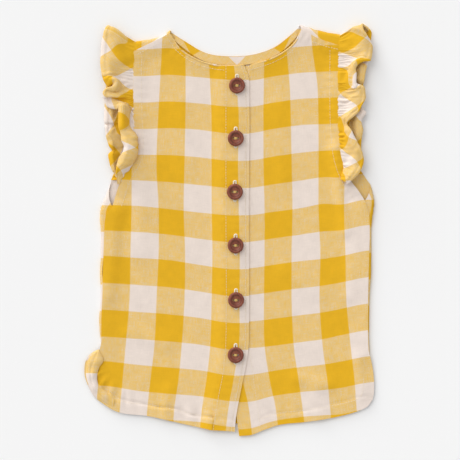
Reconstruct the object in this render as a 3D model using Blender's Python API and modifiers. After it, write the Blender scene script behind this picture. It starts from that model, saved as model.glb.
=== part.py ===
"""Toddler's sleeveless gingham blouse, buttoned up and laid flat on its back.

The blouse lies on z = 0 with its front up, its neck towards +Y and its hem towards -Y.
Tables are in millimetres; the meshes are in metres.
"""
import bpy
import bmesh
import numpy as np
from math import cos, pi, radians, sin
from mathutils import Vector

# ---- driving dimensions, millimetres
MM = 0.001
CLOTH = 1.0                # wall of a single layer of cloth
BAND = 1.6                 # wall of a doubled placket band
SEAM_GAP = 0.3             # gap between two flat pieces that are sewn together
ROLL_GAP = 0.8             # gap beside the rolled edges of the back
LAYER_GAP = 0.35           # gap between a layer and the one that lies on it
BACK_LEVEL = CLOTH / 2     # middle of the back's wall, resting on the surface
FRONT_LEVEL = BACK_LEVEL + CLOTH + LAYER_GAP
UNDER_BAND_LEVEL = CLOTH + LAYER_GAP + BAND / 2
OVER_BAND_LEVEL = UNDER_BAND_LEVEL + BAND + LAYER_GAP
FACING_LEVEL = BACK_LEVEL + CLOTH + SEAM_GAP
SHOULDER_RADIUS = 1.6      # roll of the back over the shoulder
LEAST_FLAP = 1.2           # least part of the back that lies on top beside a rolled edge
FACING_WIDTH = 8.0
BUTTON_RADIUS = 7.5
BUTTON_HEIGHT = 3.0
BUTTON_PITCH = 49.85
BUTTON_TOP_Y = 134.5
HOLE_RADIUS = 0.9
HOLE_SPACING = 3.4
COLLECTION = "gingham_blouse"

# ---- outlines of the blouse as it lies, (x, y), each smooth between its points
FOLD_LEFT = [(-102, 66), (-108.5, 51.5), (-115, 34), (-120, 22), (-121, 12), (-120, -11), (-121, -39),
             (-120.5, -61), (-122, -86), (-120.5, -103), (-120, -112), (-118, -135), (-113, -158)]
FOLD_RIGHT = [(123, 70), (127, 56), (131.5, 43), (135, 29), (134.5, 19), (132.5, 3), (132.5, -37),
              (131, -65), (130.5, -97), (131, -112), (130.5, -135), (127, -156)]
SIDE_SEAM_LEFT = [(-119.5, -104), (-119.5, -90), (-119, -65), (-117, -18), (-115, 14), (-109, 21.5)]
SIDE_SEAM_RIGHT = [(129.5, -112), (129, -97), (129.5, -65), (130.5, -18), (131, 3), (129.5, 15), (126, 27)]
ARMHOLE_LEFT = [(-109, 21.5), (-103, 41.5), (-98, 53.5), (-91, 63), (-87.5, 75.5), (-88.5, 88.5),
                (-89.5, 100), (-89.5, 166)]
ARMHOLE_RIGHT = [(126, 27), (119.5, 37.5), (113, 46), (107.5, 58), (103.5, 74.5), (101.5, 102), (101.5, 158),
                 (103, 171.5)]
SHOULDER_TOP_LEFT = [(-93.5, 175.5), (-81.5, 177), (-64, 180.5), (-55.5, 186.5)]
SHOULDER_TOP_RIGHT = [(66, 191.5), (82.5, 186.5), (105.5, 182)]
SHOULDER_SEAM_LEFT = [(-89.5, 166), (-76.5, 172.5), (-63, 179), (-55.5, 183)]
SHOULDER_SEAM_RIGHT = [(67, 187), (82, 178.5), (102.7, 171.5)]
BACK_NECK = [(-54, 184), (-39, 174.5), (-21.5, 165), (-1, 162), (21, 163.5), (41, 170), (56, 181), (64.5, 189)]
NECK_OVER = [(-55.5, 183), (-46, 169), (-30.5, 159), (-14, 154), (-4.5, 153)]
NECK_OVER_BAND = [(-4.5, 153), (5, 153), (13.5, 154)]
NECK_UNDER_BAND = [(-3.5, 153), (8, 152), (19, 153.5)]
NECK_UNDER = [(19, 153.5), (37.5, 159), (51.5, 166.5), (61.5, 175.5), (66.5, 187)]
BACK_HEM = [(-109, -158), (-90, -166), (-60, -172), (5, -180), (70, -173), (105, -165), (124, -153)]
OVER_STITCHING = [(-16.5, -186), (-11, -152), (-7.5, -135), (-4.5, -102), (-4.5, 20), (-4.5, 153)]
OVER_EDGE = [(5, -187.5), (6, -174), (12, -142), (16, -122), (18, -102), (18, 20), (18, 140), (13.5, 154)]
UNDER_STITCHING = [(30, -186.5), (27.5, -167), (23, -135), (19, -102), (19, 20), (19, 153.5)]
UNDER_EDGE = [(9, -191.5), (5.5, -167), (0.5, -135), (-3.5, -102), (-3.5, 20), (-3.5, 153)]
OVER_HEM = [(-129, -149.5), (-118, -161), (-102.5, -169.5), (-75, -173), (-41.5, -180.5), (-16.5, -186)]
OVER_BAND_HEM = [(-16.5, -186), (-5, -186.5), (5, -187.5)]
UNDER_BAND_HEM = [(9, -191.5), (20, -190.5), (30, -186.5)]
UNDER_HEM = [(30, -186.5), (47, -181), (70.5, -178.5), (103, -173), (127, -165), (133.5, -157)]
OVER_CORNER = [(-129, -149.5), (-134.4, -137), (-134.8, -126), (-132.5, -119), (-127.5, -115), (-121.5, -112)]
UNDER_CORNER = [(133.5, -157), (134.5, -150), (134.5, -139), (132.5, -124)]

# ---- roll of the back round each side, radius in mm at a height y
SIDE_ROLL = [("y", -115, -60, -20, 22), ("radius", 1.1, 1.1, 1.3, 1.6)]

# ---- how far each edge lifts the front layer: level of the edge, and width of the slope beside it
SHOULDER_SLOPE = 18
ARMHOLE_SLOPE = 16
NECK_SLOPE = 14
SIDE_SLOPE = 20
PLACKET_SLOPE = 15
ARMHOLE_LEVEL = 3.9
NECK_LEVEL = 3.3

# ---- soft folds in the front, a row for each: from (x, y) to (x, y), height and half width
OVER_FOLDS = [
    # x0,   y0,   x1,   y1, height, half width
    (-131, -122, -126, -148, 3.2, 3.5),
    (-119, -107, -128, -117, 1.6, 5.0),
    (-126, -148, -100, -165, 2.2, 4.0),
    (-105, 15, -112, -60, 1.2, 7.0),
    (-80, 60, -84, -20, 1.0, 9.0),
    (-60, -176, -56, -150, 1.0, 8.0),
    (-45, 120, -40, 60, 0.7, 10.0),
    (-95, -95, -60, -105, 0.9, 8.0),
]
UNDER_FOLDS = [
    (98, 76, 108, 0, 2.2, 6.0),
    (118, 20, 112, -60, 1.2, 8.0),
    (62, -138, 92, -144, 1.4, 7.0),
    (84, -176, 80, -150, 1.1, 8.0),
    (120, -120, 124, -152, 1.0, 6.0),
    (45, 115, 50, 50, 0.8, 10.0),
    (50, -40, 85, -60, 0.8, 9.0),
]

# ---- armhole ruffles
RUFFLE_WALL = 1.0
RUFFLE_BACK_RISE = 2.0     # mean height that the back half gains at its free edge
RUFFLE_FRONT_RISE = 5.4
RUFFLE_BACK_WAVE = 1.6     # half height of a wave of the back half
RUFFLE_ROOT_LEVEL = 3.9
RUFFLE_WAVES_BACK = 6
RUFFLE_BACK_SHORTER = 1.5
RUFFLE_CELLS_OUT = 5
RUFFLE_TURN_CELLS = 6
RUFFLE_BACK_LOBE_CELLS = 6
LOBE_CELLS = 8
# a row for each lobe of the front half, from the underarm up to the shoulder
RUFFLE_LEFT = {
    "out": -1,
    "foot": 42,                # height y where the front half starts
    "front": ARMHOLE_LEFT + [(-92.3, 171.5)],
    "back": [(-92.3, 171.5), (-91, 140), (-91.5, 100), (-93.5, 80), (-99.5, 64), (-106, 54)],
    "lobes": [
        # length on the seam, reach, half height, lean, curl, fan (degrees)
        (13, 10, 1.0, 0.4, 0.000, 12),
        (16, 22, 3.0, 0.6, 0.006, 6),
        (17, 27, 3.6, 0.7, 0.010, 3),
        (17, 27, 3.4, -0.4, 0.006, 0),
        (17, 26, 3.6, -0.6, 0.006, 0),
        (17, 28, 3.6, -0.5, 0.000, 4),
        (18, 29, 3.2, -0.3, 0.000, 14),
        (27, 29, 1.0, 0.0, 0.000, 28),
    ],
}
RUFFLE_RIGHT = {
    "out": 1,
    "foot": 42,
    "front": ARMHOLE_RIGHT + [(105.6, 176.5)],
    "back": [(105.6, 176.5), (103.5, 145), (104.5, 102), (107.5, 84), (114.5, 68), (120, 59)],
    "lobes": [
        (13, 10, 1.0, 0.4, 0.000, 14),
        (17, 21, 3.0, 0.5, 0.006, 8),
        (18, 22, 3.4, 0.6, 0.008, 4),
        (17, 23, 3.6, -0.4, 0.006, 0),
        (17, 25, 3.4, -0.5, 0.006, 0),
        (17, 27, 3.4, -0.5, 0.000, 4),
        (17, 29, 3.0, -0.3, 0.000, 12),
        (18, 29, 1.0, 0.0, 0.000, 24),
    ],
}

# ---- colours
YELLOW = (0.80, 0.58, 0.16, 1)
WHITE = (0.82, 0.76, 0.70, 1)
BROWN = (0.13, 0.045, 0.025, 1)


# ---- curves -------------------------------------------------------------------------------------
def resample(path, cells):
    """The path cut into equal lengths."""
    length = np.r_[0, np.cumsum(np.linalg.norm(np.diff(path, axis=0), axis=1))]
    at = np.linspace(0, length[-1], cells + 1)
    return np.column_stack([np.interp(at, length, path[:, k]) for k in range(path.shape[1])])


def smooth_curve(points, cells):
    """A cubic curve through the points, with the slope at each taken from its two neighbours."""
    p = np.array(points, float)
    chord = np.r_[0, np.cumsum(np.linalg.norm(np.diff(p, axis=0), axis=1))]
    before, after = np.r_[0, np.arange(len(p) - 1)], np.r_[np.arange(1, len(p)), len(p) - 1]
    slope = (p[after] - p[before]) / (chord[after] - chord[before])[:, None]
    at = np.linspace(0, chord[-1], 30 * len(p))
    k = np.clip(np.searchsorted(chord, at, side="right") - 1, 0, len(p) - 2)
    span = (chord[k + 1] - chord[k])[:, None]
    f = (at - chord[k])[:, None] / span
    path = ((2 * f**3 - 3 * f**2 + 1) * p[k] + (f**3 - 2 * f**2 + f) * span * slope[k]
            + (3 * f**2 - 2 * f**3) * p[k + 1] + (f**3 - f**2) * span * slope[k + 1])
    return resample(path, cells)


def chain(*edges):
    """Edges that follow each other, as one."""
    return np.vstack([edges[0]] + [edge[1:] for edge in edges[1:]])


def shifted(points, dx=0.0, dy=0.0):
    return [(x + dx, y + dy) for x, y in points]


def across(points):
    """y as a function of x, or x as a function of y, along an outline."""
    curve = smooth_curve(points, 60)

    def y_at(x):
        order = np.argsort(curve[:, 0])
        return np.interp(x, curve[order, 0], curve[order, 1])

    def x_at(y):
        order = np.argsort(curve[:, 1])
        return np.interp(y, curve[order, 1], curve[order, 0])
    return y_at, x_at


def distance_to(points, x, y):
    """Distance from each place to an outline."""
    line = smooth_curve(points, 80)
    gap = np.hypot(x[..., None] - line[:, 0], y[..., None] - line[:, 1])
    return gap.min(axis=-1)


def slope_down(distance, width):
    """1 at an edge, falling smoothly to 0 at the width."""
    f = np.clip(1 - distance / width, 0, 1)
    return f * f * (3 - 2 * f)


# ---- meshes -------------------------------------------------------------------------------------
def make_material(name, colour, roughness):
    material = bpy.data.materials.new(name)
    material.use_nodes = True
    shader = material.node_tree.nodes["Principled BSDF"]
    shader.inputs["Base Color"].default_value = colour
    shader.inputs["Roughness"].default_value = roughness
    shader.inputs["Metallic"].default_value = 0
    return material


def add_object(name, mesh, colour, roughness=0.85):
    item = bpy.data.objects.new(name, mesh)
    bpy.data.collections[COLLECTION].objects.link(item)
    mesh.materials.append(make_material(name, colour, roughness))
    return item


def grid_between(left, right, bottom, top):
    """A grid between four edges; left and right run up, bottom and top run to +X."""
    v = np.linspace(0, 1, len(left))[:, None, None]
    u = np.linspace(0, 1, len(bottom))[None, :, None]
    sides = (1 - u) * left[:, None] + u * right[:, None]
    ends = (1 - v) * bottom[None] + v * top[None]
    corners = ((1 - u) * (1 - v) * bottom[0] + u * (1 - v) * bottom[-1]
               + (1 - u) * v * top[0] + u * v * top[-1])
    return sides + ends - corners


def sheet_mesh(places):
    """A grid primitive whose points are moved to the places, rows upwards."""
    rows, columns = places.shape[:2]
    bm = bmesh.new()
    bmesh.ops.create_grid(bm, x_segments=columns - 1, y_segments=rows - 1, size=0.5)
    for vertex, place in zip(bm.verts, places.reshape(-1, places.shape[2])):
        vertex.co = Vector((place[0], place[1], place[2] if len(place) > 2 else 0.0))
    return bm


def finish_sheet(name, bm, wall, colour):
    """The sheet as an object in metres, its wall laid half on each side."""
    bmesh.ops.scale(bm, vec=(MM, MM, MM), verts=bm.verts)
    bmesh.ops.recalc_face_normals(bm, faces=bm.faces)
    mesh = bpy.data.meshes.new(name)
    bm.to_mesh(mesh)
    bm.free()
    mesh.shade_smooth()
    item = add_object(name, mesh, colour)
    solid = item.modifiers.new("wall", "SOLIDIFY")
    solid.thickness = wall * MM
    solid.offset = 0
    return item


# ---- the back, rolled forward at the sides and the shoulders ------------------------------------
def side_radius(y):
    (_, *heights), (_, *radii) = SIDE_ROLL
    return np.interp(y, heights, radii)


def side_fold(points, inward):
    """Line where the back starts to turn up, inside its outer outline; inward is +1 at the left."""
    _, x_at = across(points)
    return lambda y: x_at(y) + inward * (side_radius(y) + CLOTH / 2)


def shoulder_fold(points):
    y_at, _ = across(points)
    return lambda x: y_at(x) - SHOULDER_RADIUS - CLOTH / 2


def side_seam(points, fold, inward):
    """The side seam as it lies on top, never outside the rolled edge."""
    return [(inward * max(inward * x, inward * float(fold(y)) + LEAST_FLAP), y) for x, y in points]


def shoulder_seam(points, fold):
    """The shoulder seam as it lies on top, never outside the rolled edge."""
    return [(x, min(y, float(fold(x)) - LEAST_FLAP)) for x, y in points]


def unrolled_side(seam, fold, inward):
    """Cut line of the back at a side: the seam it reaches, opened out flat past the fold."""
    opened = []
    for x, y in seam:
        flap = inward * (x - float(fold(y))) - ROLL_GAP / 2
        opened.append((float(fold(y)) - inward * (pi * float(side_radius(y)) + flap), y))
    return opened


def unrolled_shoulder(seam, fold):
    opened = []
    for x, y in seam:
        flap = float(fold(x)) - y - ROLL_GAP / 2
        opened.append((x, float(fold(x)) + pi * SHOULDER_RADIUS + flap))
    return opened


def cut_beside(bm, axis, to_flat, from_flat, stations):
    """Rows of points along a curved fold: the fold is straightened, cut at each station and put back."""
    for vertex in bm.verts:
        vertex.co[axis] = to_flat(vertex.co)
    for station in stations:
        normal = Vector((0, 0, 0))
        normal[axis] = 1
        everything = bm.verts[:] + bm.edges[:] + bm.faces[:]
        bmesh.ops.bisect_plane(bm, geom=everything, dist=1e-4, plane_co=normal * station, plane_no=normal)
    for vertex in bm.verts:
        vertex.co[axis] = from_flat(vertex.co)


def rolled(distance, radius):
    """How far past a fold a point lies, and how high, once the cloth beyond it is rolled over."""
    turn = min(max(distance / radius, 0.0), pi)
    return radius * sin(turn) - max(distance - pi * radius, 0.0), radius * (1 - cos(turn))


def make_back():
    fold_left = side_fold(FOLD_LEFT, 1)
    fold_right = side_fold(FOLD_RIGHT, -1)
    top_left = shoulder_fold(SHOULDER_TOP_LEFT)
    top_right = shoulder_fold(SHOULDER_TOP_RIGHT)
    side_left = unrolled_side(side_seam(SIDE_SEAM_LEFT, fold_left, 1), fold_left, 1)
    side_right = unrolled_side(side_seam(SIDE_SEAM_RIGHT, fold_right, -1), fold_right, -1)
    crest_left = unrolled_shoulder(shoulder_seam(SHOULDER_SEAM_LEFT, top_left), top_left)
    crest_right = unrolled_shoulder(shoulder_seam(SHOULDER_SEAM_RIGHT, top_right), top_right)
    armhole_left = [side_left[-1], (-118, 34), (-108, 50), (-99, 64), (-93, 80), (-91, 100), (-90, 140),
                    (-90.3, 172), crest_left[0]]
    armhole_right = [side_right[-1], (131, 43), (122, 56), (114, 68), (107, 84), (104, 102), (102.5, 145),
                     (103.4, 178), crest_right[-1]]
    left = chain(smooth_curve([(-109, -158), (-115.5, -138), (-117, -114)], 4),
                 smooth_curve([(-117, -114), side_left[0]], 1),
                 smooth_curve(side_left, 9), smooth_curve(armhole_left, 13))
    right = chain(smooth_curve([(124, -153), (127, -140), (128, -125)], 3),
                  smooth_curve([(128, -125), side_right[0]], 2),
                  smooth_curve(side_right, 9), smooth_curve(armhole_right, 13))
    top = chain(smooth_curve(crest_left, 4), smooth_curve([crest_left[-1], BACK_NECK[0]], 1),
                smooth_curve(BACK_NECK, 10), smooth_curve([BACK_NECK[-1], crest_right[0]], 1),
                smooth_curve(crest_right, 4))
    bottom = smooth_curve(BACK_HEM, len(top) - 1)
    bm = sheet_mesh(grid_between(left, right, bottom, top))

    turns = [pi * k / 4 for k in range(5)]
    for fold, inward in ((fold_left, 1), (fold_right, -1)):
        cut_beside(bm, 0,
                   lambda co: inward * (fold(co.y) - co.x) / side_radius(co.y),
                   lambda co: fold(co.y) - inward * co.x * side_radius(co.y), turns)

    def crest(x):
        return top_left(x) if x < 5 else top_right(x)
    cut_beside(bm, 1, lambda co: (co.y - crest(co.x)) / SHOULDER_RADIUS,
               lambda co: crest(co.x) + co.y * SHOULDER_RADIUS, turns)

    for vertex in bm.verts:
        x, y, _ = vertex.co
        vertex.co.z = BACK_LEVEL
        for fold, inward in ((fold_left, 1), (fold_right, -1)):
            past = inward * (float(fold(y)) - x)
            if past > 0:
                reach, rise = rolled(past, float(side_radius(y)))
                vertex.co.x = float(fold(y)) - inward * reach
                vertex.co.z = BACK_LEVEL + rise
        past = y - float(crest(x))
        if past > 0 and abs(x - 5) > 57:
            reach, rise = rolled(past, SHOULDER_RADIUS)
            vertex.co.y = float(crest(x)) + reach
            vertex.co.z = BACK_LEVEL + rise
    finish_sheet("back", bm, CLOTH, YELLOW)


# ---- the fronts -------------------------------------------------------------------------------------
def front_height(x, y, edges, folds):
    """The layer rests on the back, rises to each of its edges, and carries soft folds."""
    lifts = [np.maximum(level(y) - FRONT_LEVEL, 0) * slope_down(distance_to(line, x, y), width)
             for line, level, width in edges]
    z = FRONT_LEVEL + sum(lift**4 for lift in lifts) ** 0.25
    for x0, y0, x1, y1, height, half_width in folds:
        run = np.array([x1 - x0, y1 - y0], float)
        t = np.clip(((x - x0) * run[0] + (y - y0) * run[1]) / (run @ run), 0, 1)
        away = np.hypot(x - x0 - t * run[0], y - y0 - t * run[1])
        z = z + height * np.exp(-(away / half_width) ** 2)
    return z


def raised(places, edges, folds):
    z = front_height(places[..., 0], places[..., 1], edges, folds)
    return np.dstack([places, z])


def front_edges(side_seam, armhole, shoulder, neck, stitching, band_level):
    """Each edge of a front with the level it is lifted to and the width of its slope."""
    rolled_level = BACK_LEVEL + 2 * SHOULDER_RADIUS
    return [
        (side_seam, lambda y: BACK_LEVEL + 2 * side_radius(y), SIDE_SLOPE),
        (armhole, lambda y: ARMHOLE_LEVEL, ARMHOLE_SLOPE),
        (shoulder, lambda y: rolled_level, SHOULDER_SLOPE),
        (neck, lambda y: NECK_LEVEL, NECK_SLOPE),
        (stitching, lambda y: band_level, PLACKET_SLOPE),
    ]


def make_front_over():
    half = SEAM_GAP / 2
    roll = ROLL_GAP / 2
    seam = shifted(side_seam(SIDE_SEAM_LEFT, side_fold(FOLD_LEFT, 1), 1), roll)
    shoulder = shifted(shoulder_seam(SHOULDER_SEAM_LEFT, shoulder_fold(SHOULDER_TOP_LEFT)), 0, -roll)
    armhole = [seam[-1]] + shifted(ARMHOLE_LEFT[1:-1], half) + [shoulder[0]]
    left = chain(smooth_curve(OVER_CORNER + [seam[0]], 6), smooth_curve(seam, 9), smooth_curve(armhole, 13))
    right = smooth_curve(shifted(OVER_STITCHING, -half), len(left) - 1)
    top = chain(smooth_curve(shoulder, 4), smooth_curve([shoulder[-1]] + shifted(NECK_OVER[1:], -half), 6))
    bottom = smooth_curve(OVER_HEM, len(top) - 1)
    edges = front_edges(SIDE_SEAM_LEFT, ARMHOLE_LEFT, SHOULDER_SEAM_LEFT, NECK_OVER, OVER_STITCHING,
                        OVER_BAND_LEVEL)
    places = raised(grid_between(left, right, bottom, top), edges, OVER_FOLDS)
    finish_sheet("front_over", sheet_mesh(places), CLOTH, YELLOW)


def make_front_under():
    half = SEAM_GAP / 2
    roll = ROLL_GAP / 2
    seam = shifted(side_seam(SIDE_SEAM_RIGHT, side_fold(FOLD_RIGHT, -1), -1), -roll)
    shoulder = shifted(shoulder_seam(SHOULDER_SEAM_RIGHT, shoulder_fold(SHOULDER_TOP_RIGHT)), 0, -roll)
    armhole = [seam[-1]] + shifted(ARMHOLE_RIGHT[1:-1], -half) + [shoulder[-1]]
    right = chain(smooth_curve(UNDER_CORNER + [seam[0]], 4), smooth_curve(seam, 10), smooth_curve(armhole, 13))
    left = smooth_curve(shifted(UNDER_STITCHING, half), len(right) - 1)
    top = chain(smooth_curve(shifted(NECK_UNDER[:-1], half) + [shoulder[0]], 6), smooth_curve(shoulder, 4))
    bottom = smooth_curve(UNDER_HEM, len(top) - 1)
    edges = front_edges(SIDE_SEAM_RIGHT, ARMHOLE_RIGHT, SHOULDER_SEAM_RIGHT, NECK_UNDER, UNDER_STITCHING,
                        UNDER_BAND_LEVEL)
    places = raised(grid_between(left, right, bottom, top), edges, UNDER_FOLDS)
    finish_sheet("front_under", sheet_mesh(places), CLOTH, YELLOW)


def make_placket(name, left, right, bottom, top, level):
    places = grid_between(left, right, bottom, top)
    flat = np.dstack([places, np.full(places.shape[:2], level)])
    finish_sheet(name, sheet_mesh(flat), BAND, YELLOW)


def make_plackets():
    half = SEAM_GAP / 2
    make_placket("placket_under", smooth_curve(UNDER_EDGE, 26), smooth_curve(shifted(UNDER_STITCHING, -half), 26),
                 smooth_curve(UNDER_BAND_HEM, 2), smooth_curve(NECK_UNDER_BAND, 2), UNDER_BAND_LEVEL)
    make_placket("placket_over", smooth_curve(shifted(OVER_STITCHING, half), 26), smooth_curve(OVER_EDGE, 26),
                 smooth_curve(OVER_BAND_HEM, 2), smooth_curve(NECK_OVER_BAND, 2), OVER_BAND_LEVEL)


def make_neck_facing():
    """A bias strip along the inside of the back neck, narrowing to the shoulders."""
    cells = 22
    edge = smooth_curve(BACK_NECK, cells)[1:-1]
    along = np.gradient(edge, axis=0)
    inward = np.column_stack([along[:, 1], -along[:, 0]]) / np.linalg.norm(along, axis=1)[:, None]
    width = FACING_WIDTH * np.sin(np.linspace(0.12, pi - 0.12, len(edge)))[:, None] ** 0.35
    across_strip = [edge + inward * (0.4 + f * width) for f in (0.0, 0.5, 1.0)]
    places = np.stack(across_strip[::-1])
    flat = np.dstack([places, np.full(places.shape[:2], FACING_LEVEL)])
    finish_sheet("neck_facing_back", sheet_mesh(flat), CLOTH, WHITE)


# ---- the ruffles --------------------------------------------------------------------------------
def sewn_beside(seam, out):
    """The seam moved a little more than the seam gap to its left (out -1) or right (out 1), seen along its run."""
    seam = np.array(seam)
    run = np.gradient(seam, axis=0)
    run /= np.linalg.norm(run, axis=1)[:, None]
    return seam + 2.5 * SEAM_GAP * out * np.column_stack([run[:, 1], -run[:, 0]])


def ruffle_places(spec):
    """Middle surface of a ruffle, gathered on the armhole seam and waved more towards its free edge.

    Along the seam a phase runs through one turn for each lobe. A wave moves a point by the sine of
    the phase across the strip's face and by the sine of twice the phase along it, which makes the
    flanks upright and the crests round. The strip runs up the front, round the shoulder and down
    the back.
    """
    lobes = np.array(spec["lobes"], float)
    out = spec["out"]
    front_seam = sewn_beside([p for p in smooth_curve(spec["front"], 240) if p[1] >= spec["foot"]], out)
    back_seam = sewn_beside(smooth_curve(spec["back"], 200), -out)
    seam_length = np.linalg.norm(np.diff(front_seam, axis=0), axis=1).sum()
    lengths = lobes[:, 0] * seam_length / lobes[:, 0].sum()
    ends = np.r_[0, np.cumsum(lengths)]
    centres = (ends[1:] + ends[:-1]) / 2

    # along the strip: place on the seam, turn round the shoulder and phase of the wave
    front_cells = LOBE_CELLS * len(lobes)
    back_cells = RUFFLE_BACK_LOBE_CELLS * RUFFLE_WAVES_BACK
    lobe_count = np.arange(front_cells + 1) / LOBE_CELLS
    turning = np.arange(1, RUFFLE_TURN_CELLS + 1) / RUFFLE_TURN_CELLS
    back_count = np.arange(1, back_cells + 1) / RUFFLE_BACK_LOBE_CELLS
    at = np.r_[np.interp(lobe_count, np.arange(len(ends)), ends), np.full(RUFFLE_TURN_CELLS, seam_length),
               seam_length * (1 - back_count / RUFFLE_WAVES_BACK)]
    psi = np.r_[0 * lobe_count, pi * turning, 0 * back_count + pi]
    phase = 2 * pi * np.r_[lobe_count, 0 * turning, back_count]
    on_back = psi >= pi

    def row(column):
        return np.interp(at, centres, lobes[:, column])
    reach = np.interp(at, np.r_[0, centres], np.r_[2.5, lobes[:, 1]]) - RUFFLE_BACK_SHORTER * on_back
    taper = np.clip(np.minimum(at, seam_length - at + 4) / 12, 0, 1)
    height = np.where(on_back, RUFFLE_BACK_WAVE, row(2)) * taper
    lean = np.where(on_back, 0.3, row(3))
    curl = np.where(on_back, 0.0, row(4)) + 1e-6
    fan = np.radians(row(5))
    wave_length = np.where(on_back, seam_length / RUFFLE_WAVES_BACK, row(0))
    swing = 1.1 * wave_length / (4 * pi) * taper

    f = np.linspace(0, 1, RUFFLE_CELLS_OUT + 1)[None, :]
    grow = f ** 0.9
    col = [value[:, None] for value in (at, psi, phase, reach, height, lean, curl, fan, swing)]
    at_c, psi_c, phase_c, reach_c, height_c, lean_c, curl_c, fan_c, swing_c = col
    across_face = height_c * grow * np.sin(phase_c)
    along_strip = -swing_c * grow * np.sin(2 * phase_c) + lean_c * across_face
    bend = curl_c * reach_c * f
    outward = np.sin(bend) / curl_c - across_face * np.sin(bend)
    upward = (1 - np.cos(bend)) / curl_c + across_face * np.cos(bend)

    front_mean = RUFFLE_ROOT_LEVEL + RUFFLE_FRONT_RISE * grow
    back_mean = BACK_LEVEL + 0.1 + RUFFLE_BACK_RISE * grow
    middle = (front_mean + back_mean) / 2
    radius = (front_mean - back_mean) / 2
    share = at / seam_length
    on_front = [np.interp(share, np.linspace(0, 1, len(front_seam)), front_seam[:, k]) for k in (0, 1)]
    behind = [np.interp(1 - share, np.linspace(0, 1, len(back_seam)), back_seam[:, k]) for k in (0, 1)]
    base_x, base_y = [np.where(on_back, b, a)[:, None] for a, b in zip(on_front, behind)]
    out_x = out * np.cos(fan_c)
    out_y = np.sin(fan_c)
    up_x = -out * out_y
    up_y = np.cos(fan_c)
    tangent = np.cos(psi_c) * along_strip + np.sin(psi_c) * (upward + radius)
    x = base_x + out_x * outward + up_x * tangent
    y = base_y + out_y * outward + up_y * tangent
    z = middle + np.cos(psi_c) * (radius + upward) - np.sin(psi_c) * along_strip
    return np.stack([x, y, z], axis=-1)


def make_ruffle(name, spec):
    bm = sheet_mesh(ruffle_places(spec))
    finish_sheet(name, bm, RUFFLE_WALL, YELLOW)


# ---- the buttons --------------------------------------------------------------------------------
def make_buttons():
    """Turned buttons with a raised rim, a dished centre and two holes, down the middle of the placket."""
    profile = [(0, 1.5), (3.4, 1.6), (4.5, 2.5), (5.8, BUTTON_HEIGHT), (7.0, 2.6), (BUTTON_RADIUS, 1.7),
               (7.2, 0.5), (6.2, 0), (0, 0)]
    outline = bpy.data.meshes.new("button_profile")
    outline.from_pydata([(r * MM, 0, z * MM) for r, z in profile],
                        [(k, k + 1) for k in range(len(profile) - 1)], [])
    turned = bpy.data.objects.new("button_profile", outline)
    bpy.context.scene.collection.objects.link(turned)
    screw = turned.modifiers.new("turn", "SCREW")
    screw.steps = 24
    screw.render_steps = 24
    screw.use_merge_vertices = True
    screw.merge_threshold = 0.00001

    bm = bmesh.new()
    for side in (-1, 1):
        made = bmesh.ops.create_cone(bm, cap_ends=True, segments=8, radius1=HOLE_RADIUS * MM,
                                     radius2=HOLE_RADIUS * MM, depth=8 * MM)
        bmesh.ops.translate(bm, vec=(side * HOLE_SPACING / 2 * MM, 0, 0), verts=made["verts"])
    drill_mesh = bpy.data.meshes.new("button_drill")
    bm.to_mesh(drill_mesh)
    bm.free()
    drill = bpy.data.objects.new("button_drill", drill_mesh)
    bpy.data.collections["cutters"].objects.link(drill)
    drill.hide_render = True
    drill.display_type = "WIRE"
    holes = turned.modifiers.new("holes", "BOOLEAN")
    holes.operation = "DIFFERENCE"
    holes.solver = "EXACT"
    holes.object = drill

    bpy.context.view_layer.update()
    evaluated = turned.evaluated_get(bpy.context.evaluated_depsgraph_get())
    mesh = bpy.data.meshes.new_from_object(evaluated)
    mesh.name = "button"
    mesh.shade_smooth()
    mesh.set_sharp_from_angle(angle=radians(40))
    mesh.materials.clear()
    mesh.materials.append(make_material("button", BROWN, 0.45))
    bpy.data.objects.remove(turned)

    base = OVER_BAND_LEVEL + BAND / 2 + SEAM_GAP
    for number, x in enumerate((7.0, 5.8, 5.0, 5.7, 6.1, 5.7)):
        item = bpy.data.objects.new(f"button_{number + 1}", mesh)
        item.location = (x * MM, (BUTTON_TOP_Y - number * BUTTON_PITCH) * MM, base * MM)
        bpy.data.collections[COLLECTION].objects.link(item)


def main():
    for item in list(bpy.data.objects):
        bpy.data.objects.remove(item)
    for name in (COLLECTION, "cutters"):
        bpy.context.scene.collection.children.link(bpy.data.collections.new(name))
    make_back()
    make_neck_facing()
    make_front_under()
    make_front_over()
    make_plackets()
    make_ruffle("ruffle_left", RUFFLE_LEFT)
    make_ruffle("ruffle_right", RUFFLE_RIGHT)
    make_buttons()


main()
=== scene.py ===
import bpy
import numpy as np
from math import pi
from mathutils import Matrix, Vector


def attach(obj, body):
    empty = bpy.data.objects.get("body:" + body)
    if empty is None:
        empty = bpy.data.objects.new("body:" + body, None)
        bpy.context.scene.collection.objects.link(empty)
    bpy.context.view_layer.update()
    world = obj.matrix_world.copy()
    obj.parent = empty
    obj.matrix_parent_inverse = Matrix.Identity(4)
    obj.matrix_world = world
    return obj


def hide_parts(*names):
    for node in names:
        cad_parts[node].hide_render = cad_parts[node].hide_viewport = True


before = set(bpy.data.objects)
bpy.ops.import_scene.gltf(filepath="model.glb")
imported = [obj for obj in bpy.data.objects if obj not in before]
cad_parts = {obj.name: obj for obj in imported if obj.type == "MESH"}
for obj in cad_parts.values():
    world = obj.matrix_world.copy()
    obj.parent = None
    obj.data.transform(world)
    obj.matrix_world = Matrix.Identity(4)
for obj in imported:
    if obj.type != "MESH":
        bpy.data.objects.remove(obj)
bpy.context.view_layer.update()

mm = 0.001
print("frame loaded")


# ---- curves and grids; every shape below is in millimetres until it becomes a mesh
def lengths(path):
    # how far along a path each of its points lies
    return np.r_[0, np.cumsum(np.linalg.norm(np.diff(path, axis=0), axis=1))]


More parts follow.
